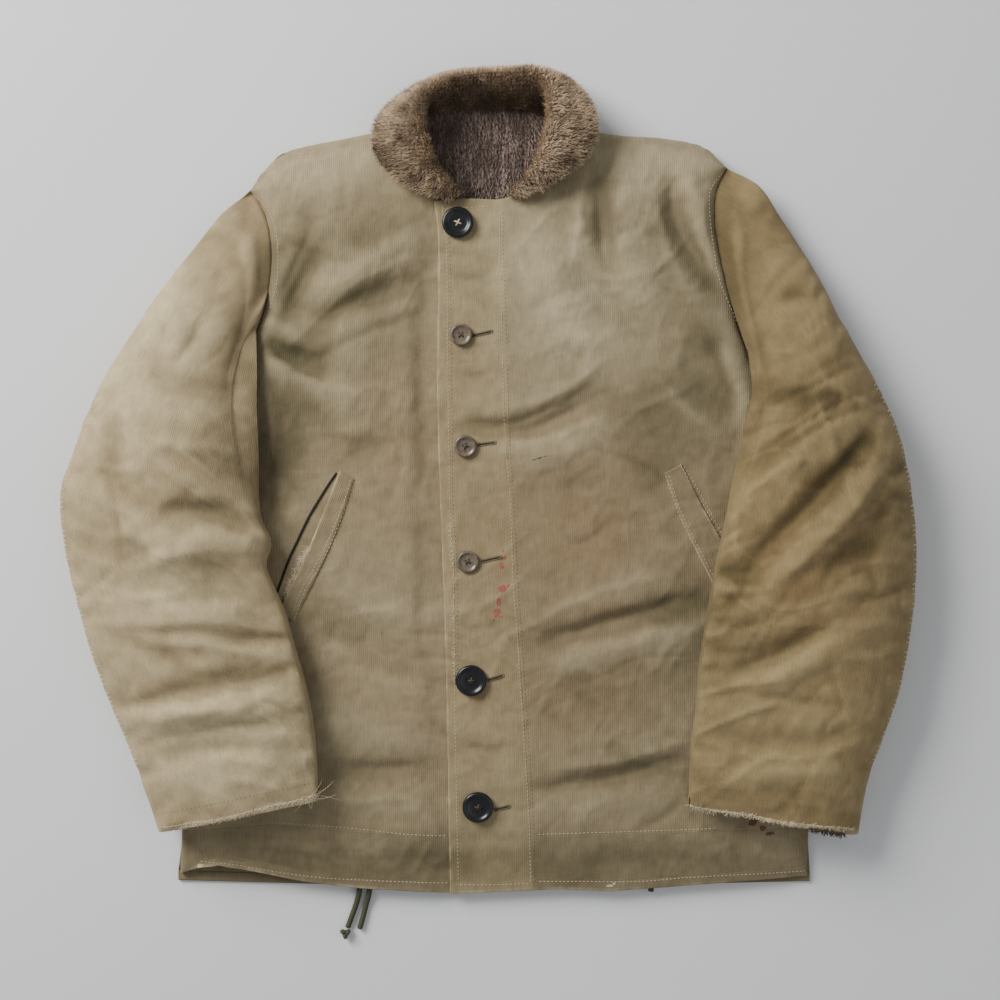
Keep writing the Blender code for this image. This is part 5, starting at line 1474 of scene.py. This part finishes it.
def build_neck_lining():
    """The back's pile lining, as it shows in the neck."""
    x = np.linspace(-80, 82, 60)
    y = np.linspace(205, 352, 56)
    gx, gy = np.meshgrid(x, y)
    gz = 8.6 + 0.8 * noise(gx, gy, 16.0, 81)
    grid = np.dstack([gx, gy, gz])
    base = carried(grid, np.zeros(gx.shape + (2,)), np.zeros(gx.shape + (4,)))
    shell("neck_lining_base", base, LINING, ["lining_back", "lining_front"], "pile_lining")
    count = NECK_STRANDS[1]
    place, normal, across, upward, _ = scattered(grid, count, 82)
    normal = np.where(normal[:, 2:3] < 0, -normal, normal)
    px, py = place[:, 0], place[:, 1]
    comb = -upward * 1.0 + across * (0.25 * noise(px, py, 20.0, 83))[:, None]
    tone = 0.35 + 0.35 * noise(px * 3.0, py * 0.6, 9.0, 84) + 0.2 * noise(px, py, 18.0, 85)
    tone += np.random.default_rng(86).normal(0.0, 0.14, count)
    return strands("neck_lining_strands", place, normal, comb, LINING_PILE_SURFACE, "pile_lining",
                   5.0, 0.45, 10, tone, 87)


def build_back(plan):
    """The back, its hem band and its tape, which show at the sides and underneath."""
    side_right, side_left = plan[:, 0], plan[:, -1]
    shoulder = plan[-1]
    rows = []
    hem = along(BACK_HEM, np.linspace(0.0, 1.0, 41))
    below = np.concatenate([side_right[BAND_ROW::6], side_right[-1:]])
    above = np.concatenate([side_left[BAND_ROW::6], side_left[-1:]])
    for left, right in zip(below, above):
        rows.append(np.column_stack([np.linspace(left[0], right[0], 41), np.linspace(left[1], right[1], 41)]))
    # The shoulders and the neck close the top
    top_line = np.vstack([shoulder[1:EDGE_COLUMN][shoulder[1:EDGE_COLUMN, 0] < -84],
                          along(BACK_NECK[::-1], np.linspace(0.0, 1.0, 9)),
                          shoulder[SEAM_COLUMN:-1][shoulder[SEAM_COLUMN:-1, 0] > 80]])
    top_line = top_line[np.argsort(top_line[:, 0])]
    last = rows[-1]
    for share in (0.33, 0.66, 1.0):
        raised = last.copy()
        room = np.interp(last[:, 0], top_line[:, 0], top_line[:, 1]) - BACK_INSET - last[:, 1]
        raised[:, 1] += share * np.maximum(0.0, room)
        rows.append(raised)
    grid = np.stack(rows)
    z = np.full(grid.shape[:2], 1.0)
    marks = wear_and_painted_light(grid[..., 0], grid[..., 1]) * 0.6
    piece = carried(np.dstack([grid, z]), grid, marks)
    for side in ("left", "right", "top"):
        piece = with_rim(piece, side, [(-0.4, -0.6), (-0.8, -1.6), (-1.6, -2.0)])
    shell("back_cloth", piece, FRONT_CLOTH, ["back"], "shell_cloth", flip=True)
    band_top = np.column_stack([np.linspace(side_right[BAND_ROW, 0], side_left[BAND_ROW, 0], 41),
                                np.linspace(side_right[BAND_ROW, 1], side_left[BAND_ROW, 1], 41)])
    tape = hem + np.array([0.0, BINDING])
    for name, low_line, high_line, surface, replaced in (
            ("hem_band_back_cloth", tape, band_top, BAND_CLOTH, "hem_band_back"),
            ("hem_tape_back", hem, tape, TAPE_CLOTH, "hem_binding_back")):
        share = np.linspace(0.0, 1.0, 7)[:, None, None]
        flat = low_line[None] * (1 - share) + high_line[None] * share
        upper = np.dstack([flat, np.full(flat.shape[:2], 2.9)])
        lower = np.dstack([flat, np.full(flat.shape[:2], 0.2)])
        ring = np.concatenate([lower[::-1], upper], axis=0)
        ring = np.concatenate([ring, ring[:1]], axis=0)
        marks = wear_and_painted_light(ring[..., 0], ring[..., 1])
        shell(name, carried(ring, ring[..., :2], marks), surface, [replaced], "shell_cloth")


def build_welt(name, table, ground, node_name, gaping):
    """A pocket welt that lies on its front, with a rounded edge at the mouth."""
    rows = np.array(table, float)
    shares = np.linspace(0.0, 1.0, 61)
    stitched, mouth = along(rows[:, 0:2], shares), along(rows[:, 2:4], shares)
    across = np.concatenate([[0.0, 0.03, 0.08], np.linspace(0.16, 0.88, 9), [0.94, 0.98, 1.0]])
    plan = stitched[:, None] * (1 - across[None, :, None]) + mouth[:, None] * across[None, :, None]
    low = np.array([[ground.at(x, y) for x, y in row] for row in plan])
    rise = np.interp(across, [0.0, 0.03, 0.08, 0.9, 0.97, 1.0], [0.2, 1.2, 1.7, 2.0, 1.7, 0.9])
    bump = 0.35 * noise(plan[..., 0], plan[..., 1], 8.0, 91)
    z = low + rise[None, :] + bump * np.sin(math.pi * across)[None, :] + gaping * (across**2)[None, :]
    worn = 0.9 * np.exp(-(((1 - across) / 0.08) ** 2)) + 0.5 * np.exp(-((across / 0.06) ** 2))
    marks = wear_and_painted_light(plan[..., 0], plan[..., 1], np.broadcast_to(worn[None], z.shape))
    run = np.linspace(0, length_of(stitched), len(shares))[:, None] * np.ones_like(z)
    uv = np.dstack([across[None] * 18.0 * np.ones_like(z), run])
    piece = carried(np.dstack([plan, z]), uv, marks)
    piece = with_rim(piece, "left", [(0.1, 0.8), (0.0, 1.6)])
    piece = with_rim(piece, "right", [(0.2, 0.8), (-0.2, 1.6 + gaping), (-3.0, 2.0 + gaping)])
    piece = with_rim(piece, "top", [(0.1, 0.8), (0.0, 1.8)])
    piece = with_rim(piece, "bottom", [(0.1, 0.8), (0.0, 1.8)])
    return shell(name, piece, FRONT_CLOTH, [node_name], "shell_cloth")


def build_button(number, x, y, radius, thickness, kind, turn, ground):
    """A four-hole button with a raised rim, and the thread that crosses its holes."""
    profile = [(0.0, 0.0), (0.80, 0.0), (0.93, 0.12), (1.0, 0.38), (1.0, 0.62), (0.96, 0.86), (0.90, 0.98),
               (0.84, 1.0), (0.78, 0.94), (0.70, 0.72), (0.62, 0.60), (0.50, 0.56), (0.30, 0.54), (0.0, 0.54)]
    sides = 56
    shape = bmesh.new()
    rings = []
    for share, height in profile[1:-1]:
        rings.append([shape.verts.new((radius * share * math.cos(2 * math.pi * k / sides) * MM,
                                       radius * share * math.sin(2 * math.pi * k / sides) * MM,
                                       height * thickness * MM)) for k in range(sides)])
    for low, high in zip(rings, rings[1:]):
        for k in range(sides):
            j = (k + 1) % sides
            shape.faces.new((low[k], low[j], high[j], high[k]))
    shape.faces.new(rings[0][::-1])
    shape.faces.new(rings[-1])
    mesh = bpy.data.meshes.new("button_body")
    shape.to_mesh(mesh)
    shape.free()
    mesh.shade_smooth()
    drill = bmesh.new()
    holes = []
    for sx in (-1, 1):
        for sy in (-1, 1):
            made = bmesh.ops.create_cone(drill, cap_ends=True, segments=16, radius1=radius * 0.085 * MM,
                                         radius2=radius * 0.085 * MM, depth=4 * thickness * MM)
            place = (sx * radius * 0.17, sy * radius * 0.17)
            holes.append(place)
            bmesh.ops.translate(drill, verts=made["verts"], vec=(place[0] * MM, place[1] * MM, 0.0))
    drill_mesh = bpy.data.meshes.new("button_drill")
    drill.to_mesh(drill_mesh)
    drill.free()
    body = bpy.data.objects.new("button_raw", mesh)
    cutter = bpy.data.objects.new("button_cutter", drill_mesh)
    for item in (body, cutter):
        bpy.context.scene.collection.objects.link(item)
    cut = body.modifiers.new("holes", "BOOLEAN")
    cut.operation = "DIFFERENCE"
    cut.solver = "EXACT"
    cut.object = cutter
    bpy.context.view_layer.update()
    finished = bpy.data.meshes.new_from_object(body.evaluated_get(bpy.context.evaluated_depsgraph_get()))
    bpy.data.objects.remove(body)
    bpy.data.objects.remove(cutter)
    finished.shade_smooth()
    finished.set_sharp_from_angle(angle=math.radians(42))
    resting = ground.over(x, y, radius * 0.7) + 0.5
    height, up = ground.hit(x, y)
    turned = Vector((0, 0, 1)).rotation_difference(up.lerp(Vector((0, 0, 1)), 0.5)).to_matrix().to_4x4()
    spin = turned @ Matrix.Rotation(math.radians(turn), 4, "Z")
    finished.transform(spin)
    finished.transform(Matrix.Translation((x * MM, y * MM, resting * MM)))
    finished.name = "button_%d_body" % number
    finished.materials.clear()
    surface = BLACK if kind == "black" else BROWN
    put("button_%d_body" % number, finished, surface, ["button_%d" % number], "button_" + kind)
    middle = np.array([x, y, resting])
    matrix = np.array(spin)[:3, :3]
    rows = []
    for k in range(5):
        for a, b in (((-1, -1), (1, 1)), ((-1, 1), (1, -1))):
            jitter = 0.35 * (k - 2)
            start = np.array([a[0] * radius * 0.17 + jitter, a[1] * radius * 0.17, thickness * 0.50])
            end = np.array([b[0] * radius * 0.17 + jitter, b[1] * radius * 0.17, thickness * 0.50])
            crest = (start + end) / 2 + np.array([0, 0, 1.0])
            rows.append([middle + matrix @ start, middle + matrix @ crest, middle + matrix @ end])
    surface = PALE_THREAD if number == 1 else DARK_THREAD
    threads("button_%d_thread" % number, rows, 0.28, surface)


def threads(name, lines, radius, surface, sides=5):
    """Many short lengths of thread in one mesh; each line is a list of points in millimetres."""
    points, faces = [], []
    for line in lines:
        line = np.asarray(line, float)
        tangent = np.gradient(line, axis=0)
        tangent /= np.maximum(np.linalg.norm(tangent, axis=1, keepdims=True), 1e-9)
        across = np.cross(tangent, [0.0, 0.0, 1.0])
        flat = np.linalg.norm(across, axis=1) < 1e-3
        across[flat] = [1.0, 0.0, 0.0]
        across /= np.linalg.norm(across, axis=1, keepdims=True)
        lifted = np.cross(across, tangent)
        start = len(points)
        size = np.full(len(line), radius)
        size[0] = size[-1] = radius * 0.55
        for k in range(len(line)):
            for s in range(sides):
                angle = 2 * math.pi * s / sides
                points.append(line[k] + size[k] * (math.cos(angle) * across[k] + math.sin(angle) * lifted[k]))
        for k in range(len(line) - 1):
            for s in range(sides):
                n = (s + 1) % sides
                a = start + k * sides
                faces.append((a + s, a + n, a + sides + n, a + sides + s))
    mesh = mesh_from(name, np.array(points), np.array(faces))
    return put(name, mesh, surface)


def stitches(name, lines, ground, surface, length=2.5, gap=1.0, radius=0.26, lift=0.1):
    """Rows of stitches that follow lines in the plan and dive into the cloth at their ends."""
    made = []
    for line in lines:
        total = length_of(line)
        count = int(total / (length + gap))
        if count < 1:
            continue
        starts = (np.arange(count) + 0.5 - length / (length + gap) / 2) / count
        ends = starts + length / total
        for a, b in zip(along(line, starts), along(line, np.minimum(ends, 1.0))):
            middle = (a + b) / 2
            za, zm, zb = ground.at(*a), ground.at(*middle), ground.at(*b)
            made.append([(a[0], a[1], za - 0.25), (middle[0], middle[1], zm + lift), (b[0], b[1], zb - 0.25)])
    return threads(name, made, radius, surface, 4)


def spots(name, table, ground, surface, lift=0.14):
    """Thin irregular spots that follow the cloth under them."""
    points, faces = [], []
    for number, (x, y, across, along_it, turn) in enumerate(table):
        angle = math.radians(turn)
        start = len(points)
        rings = ((0.0, 1), (0.5, 20), (1.0, 20))
        for share, count in rings:
            for k in range(count):
                t = 2 * math.pi * k / count
                bump = noise(np.array(6 * math.cos(t)), np.array(6 * math.sin(t)), 3.0, 300 + number)
                reach = share * (1.0 + 0.30 * float(bump))
                u, v = across * reach * math.cos(t), along_it * reach * math.sin(t)
                px = x + u * math.cos(angle) - v * math.sin(angle)
                py = y + u * math.sin(angle) + v * math.cos(angle)
                points.append((px, py, ground.at(px, py) + lift - (0.1 if share == 1.0 else 0.0)))
        for k in range(20):
            n = (k + 1) % 20
            faces.append((start, start + 1 + k, start + 1 + n))
            faces.append((start + 1 + k, start + 21 + k, start + 21 + n))
            faces.append((start + 1 + k, start + 21 + n, start + 1 + n))
    return put(name, mesh_from(name, np.array(points), np.array(faces)), surface)


def frayed(name, line, count, ground, surface, seed, outward, reach=5.0, radius=0.16, least=0.0):
    """Loose yarns that stand out from a raw edge and curl down onto what is under them."""
    random = np.random.default_rng(seed)
    shares = np.sort(random.uniform(0.0, 1.0, count))
    starts = along(line, shares)
    made = []
    for x, y in starts:
        bearing = math.atan2(outward[1], outward[0]) + random.normal(0.0, 0.75)
        long = reach * random.uniform(0.25, 1.0) ** 1.5
        curl = random.normal(0.0, 0.9)
        px, py = x - 1.2 * outward[0], y - 1.2 * outward[1]
        height = max(ground.at(px, py), least)
        run = []
        for _ in range(6):
            run.append((px, py, height))
            bearing += curl / 5
            px += long / 5 * math.cos(bearing)
            py += long / 5 * math.sin(bearing)
            height = max(ground.at(px, py) + 0.25, height - 0.12 * long + random.normal(0.0, 0.15), 0.3)
        made.append(run)
    return threads(name, made, radius, surface, 4)


def build_buttonholes(ground):
    """Slits in the placket, each a near-black line of painted shade, closely overcast with thread on both
    sides and round its end.
    """
    slits, bars = [], []
    for x0, y0, x1, y1 in BUTTONHOLES:
        way = np.array([x1 - x0, y1 - y0], float)
        size = np.hypot(*way)
        way /= size
        side = np.array([-way[1], way[0]])
        slits.append([(x0 + way[0] * t * size, y0 + way[1] * t * size,
                       ground.at(x0 + way[0] * t * size, y0 + way[1] * t * size) + 0.15)
                      for t in np.linspace(0.0, 1.0, 9)])
        for t in np.arange(0.0, size, 0.55):
            for hand in (-1, 1):
                inner = np.array([x0, y0]) + way * t + side * hand * 0.35
                outer = inner + side * hand * (1.7 + 0.25 * math.sin(9.0 * t))
                middle = (inner + outer) / 2
                bars.append([(*inner, ground.at(*inner) + 0.1), (*middle, ground.at(*inner) + 0.55),
                             (*outer, ground.at(*outer) - 0.1)])
        for turn in np.linspace(-1.2, 1.2, 7):
            out = way * math.cos(turn) + side * math.sin(turn)
            inner = np.array([x1, y1]) + out * 0.3
            outer = inner + out * 2.1
            bars.append([(*inner, ground.at(*inner) + 0.1), (*((inner + outer) / 2), ground.at(*inner) + 0.5),
                         (*outer, ground.at(*outer) - 0.1)])
    # The slits are near-black lines of painted shade
    return [threads("buttonhole_slit_shades", slits, 0.42, SLIT_SHADE, 6),
            threads("buttonhole_stitches", bars, 0.27, SHADED_THREAD, 4)]


def build_outer_seam(side, fine, high):
    """Long threads that run in over the top of the sleeve from its outer seam."""
    edge = np.dstack([fine[..., 0], fine[..., 1], high])
    run = np.concatenate([[0.0], np.cumsum(np.hypot(*np.diff(edge[:, -1, :2], axis=0).T))])
    made = []
    random = np.random.default_rng(47 if side == "right" else 48)
    place = SEAM_STITCH_START * run[-1]
    while place < SEAM_STITCH_END * run[-1]:
        row = min(int(np.searchsorted(run, place)), len(edge) - 2)
        lift = np.array([0.0, 0.0, 0.35])
        run_in = [edge[row, column] + lift for column in (-12, -10, -8, -6, -4, -2)]
        made.append(run_in + [edge[row + 1, -1] + (edge[row + 1, -1] - edge[row + 1, -3]) * 0.2 + lift])
        place += random.uniform(4.6, 7.4)
    return threads("seam_threads_" + side, made, 0.55, PALE_THREAD, 4)


def build_details(cloth, sleeves):
    """Sewing, raw edges, loose threads and stains; returns what goes with each piece of cloth."""
    found = {"front_left_cloth": [], "front_right_cloth": [], "placket_cloth": []}
    found["front_left_cloth"] += [
        stitches("front_stitches", FRONT_STITCHES, cloth, PALE_THREAD, 2.3, 1.3, 0.38, 0.24),
        # Dark thread as painted shadow beside the stitch rows
        stitches("front_stitch_painted_shadow", STITCH_SHADOWS, cloth, DARK_THREAD, 1.4, 2.6, 0.30, 0.14)]
    found["placket_cloth"] += build_buttonholes(cloth)
    found["placket_cloth"] += [
        spots("paint_spots", PAINT_SPOTS, cloth, RED),
        frayed("placket_frays", [(-35, -38), (-32, -80), (-31, -150), (-31, -182)], 190, cloth, PALE_THREAD,
               401, (-1.0, 0.0), 4.2, 0.24)]
    found["front_left_cloth"] += [
        spots("dark_spots", DARK_SPOTS, cloth, DARK_THREAD, 0.10)]
    found["hem_tape_left"] = [spots("worn_spots", WORN_SPOTS, cloth, PALE_THREAD, 0.12)]
    found["welt_right"] = [
        frayed("pocket_frays", [(-162, -62), (-172, -82), (-184, -108)], 240, cloth, PALE_THREAD, 402,
               (-0.8, -0.4), 7.0, 0.28),
        # Painted shade in the pocket's mouth, as a near-black thread
        threads("pocket_slit_shade", [[(x, y, cloth.over(x, y, 1.5) + 0.2) for x, y in along(
            [(-136, 5), (-146, -10), (-161, -35), (-173, -60), (-180, -76), (-190, -104)],
            np.linspace(0.0, 1.0, 40))]], 1.1, SLIT_SHADE, 8),
        stitches("pocket_saddle", [[(-135, 6), (-143, -7), (-159, -30), (-171, -55), (-177, -70)]], cloth,
                 DARK_THREAD, 2.6, 3.4, 0.34, 0.3)]
    for side, (piece, fine, high) in sleeves.items():
        ground = Ground(piece)
        name = "sleeve_top_%s_cloth" % side
        found[name] = [
            stitches("cuff_stitches_" + side, [CUFF_STITCHES[side]], ground, SHADED_THREAD,
                     2.6, 1.2, 0.28, 0.14),
            frayed("cuff_frays_" + side, CUFF_FRAYS[side], 560, ground, PALE_THREAD, 403, (0.15, -1.0),
                   6.0, 0.26, 9.0),
            build_outer_seam(side, fine, high)]
    right = Ground(sleeves["right"][0])
    found["sleeve_top_right_cloth"].append(
        frayed("cuff_loose_threads", [(-160, -285), (-152, -282)], 16, right, PALE_THREAD, 404,
               (1.0, -0.55), 26.0, 0.22, 20.0))
    left = Ground(sleeves["left"][0])
    found["sleeve_top_left_cloth"] += [
        spots("rust_spots", RUST_SPOTS, cloth, RUST, 0.2),
        frayed("cuff_torn_lining", [(286, -311), (300, -314), (318, -318)], 260, left, DARK_THREAD, 405,
               (0.1, -1.0), 7.0, 0.30, 6.0)]
    return found


def build_cord(name, route, node_name):
    """A braided drawcord's free end."""
    total = length_of(route)
    steps = int(total / 0.6)
    line = along(route, np.linspace(0.0, 1.0, steps + 1))
    tangent = np.gradient(line, axis=0)
    tangent /= np.linalg.norm(tangent, axis=1, keepdims=True)
    across = np.cross(tangent, [0.0, 0.0, 1.0])
    across /= np.linalg.norm(across, axis=1, keepdims=True)
    lifted = np.cross(across, tangent)
    around = np.linspace(0.0, 2 * math.pi, 25)[:-1]
    run = np.linspace(0.0, total, steps + 1)[:, None]
    braid = np.abs(np.sin(2 * around[None] + run * 1.15)) * np.abs(np.sin(2 * around[None] - run * 1.15))
    radius = CORD_RADIUS * (0.90 + 0.13 * braid)
    radius[0] *= 0.5
    radius[-1] *= 0.35
    ring = (line[:, None] + radius[..., None] * (np.cos(around)[None, :, None] * across[:, None]
                                                 + np.sin(around)[None, :, None] * lifted[:, None]))
    ring[..., 2] = np.maximum(ring[..., 2], 0.05)
    rows, columns = ring.shape[:2]
    index = np.arange(rows * columns).reshape(rows, columns)
    index = np.concatenate([index, index[:, :1]], axis=1)
    faces = np.stack([index[:-1, :-1], index[:-1, 1:], index[1:, 1:], index[1:, :-1]], axis=-1).reshape(-1, 4)
    mesh = mesh_from(name, ring.reshape(-1, 3), faces)
    piece = put(name, mesh, CORD_SURFACE, [node_name], "cord")
    return piece


def build_knot():
    """The knot at the end of the longer cord, wound from the same cord."""
    centre = np.array(CORD_KNOT)
    points = []
    for k in range(60):
        t = 2 * math.pi * k / 59
        x = 2.3 * (math.sin(t) + 0.5 * math.sin(2 * t))
        y = 2.3 * (math.cos(t) - 0.5 * math.cos(2 * t))
        points.append(centre + np.array([x, y, -1.2 * math.sin(3 * t)]))
    piece = threads("cord_knot", [points], 2.0, CORD_SURFACE, 10)
    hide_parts("drawcord_knot")
    return piece


def set_camera():
    """The camera looks straight down, as the picture was taken."""
    data = bpy.data.cameras.new("camera")
    data.lens = CAMERA_LENS
    data.sensor_width = CAMERA_SENSOR
    data.clip_end = 20.0
    camera = bpy.data.objects.new("camera", data)
    camera.location = CAMERA_PLACE
    bpy.context.scene.collection.objects.link(camera)
    bpy.context.scene.camera = camera


def set_light():
    """A pale floor, a large soft light from the upper left, and a weak fill."""
    mesh = bpy.data.meshes.new("floor")
    corners = [(FLOOR_REACH * x, FLOOR_REACH * y, 0) for x, y in ((-1, -1), (1, -1), (1, 1), (-1, 1))]
    mesh.from_pydata(corners, [], [(0, 1, 2, 3)])
    floor = bpy.data.objects.new("floor", mesh)
    bpy.context.scene.collection.objects.link(floor)
    surface, _, shader = nodes_of("floor")
    shader.inputs["Base Color"].default_value = (*FLOOR, 1.0)
    shader.inputs["Roughness"].default_value = 0.9
    mesh.materials.append(surface)
    for name, place, size, power in LAMPS:
        light = bpy.data.lights.new(name, "AREA")
        light.size = size
        light.energy = power
        lamp = bpy.data.objects.new(name, light)
        lamp.location = place
        lamp.rotation_mode = "QUATERNION"
        lamp.rotation_quaternion = (-Vector(place)).to_track_quat("-Z", "Y")
        bpy.context.scene.collection.objects.link(lamp)
    world = bpy.data.worlds.new("world")
    world.use_nodes = True
    sky = world.node_tree.nodes["Background"]
    sky.inputs["Color"].default_value = (*SKY_COLOUR, 1.0)
    sky.inputs["Strength"].default_value = SKY_STRENGTH
    bpy.context.scene.world = world


def build_all():
    """Every piece of the jacket, from the back up to the sewing on it."""
    plan, top, fronts = build_fronts()
    cad = [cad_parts[name] for name in ("front_right", "front_left", "placket", "hem_band_right",
                                             "hem_band_left", "hem_binding_right", "hem_binding_left")]
    ground = Ground(*cad)
    neck_ground = Ground(*cad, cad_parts["lining_back"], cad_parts["back"])
    build_back(plan)
    sleeves = {}
    for side, table, creases in (("right", SLEEVE_RIGHT, SLEEVE_RIGHT_FOLDS),
                                 ("left", SLEEVE_LEFT, SLEEVE_LEFT_FOLDS)):
        sleeves[side] = build_sleeve(side, table, creases, top, ground)
    collar_pile = grow_collar(build_collar(neck_ground))
    neck_pile = build_neck_lining()
    cloth = Ground(*fronts.values())
    welts = [build_welt("welt_right", WELT_RIGHT, cloth, "pocket_welt_right", 0.8),
             build_welt("welt_left", WELT_LEFT, cloth, "pocket_welt_left", 0.3)]
    for number, (x, y, radius, thickness, kind, turn) in enumerate(BUTTONS, 1):
        build_button(number, x, y, radius, thickness, kind, turn, cloth)
    knot = build_knot()
    build_cord("cord_long", CORD_LONG, "drawcord_long")
    build_cord("cord_short", CORD_SHORT, "drawcord_short")
    build_cord("cord_stub", CORD_STUB, "drawcord_stub")
    details = build_details(Ground(*fronts.values(), *welts), sleeves)
    details["collar_base"] = [collar_pile]
    details["neck_lining_base"] = [neck_pile]


build_all()
set_camera()
set_light()
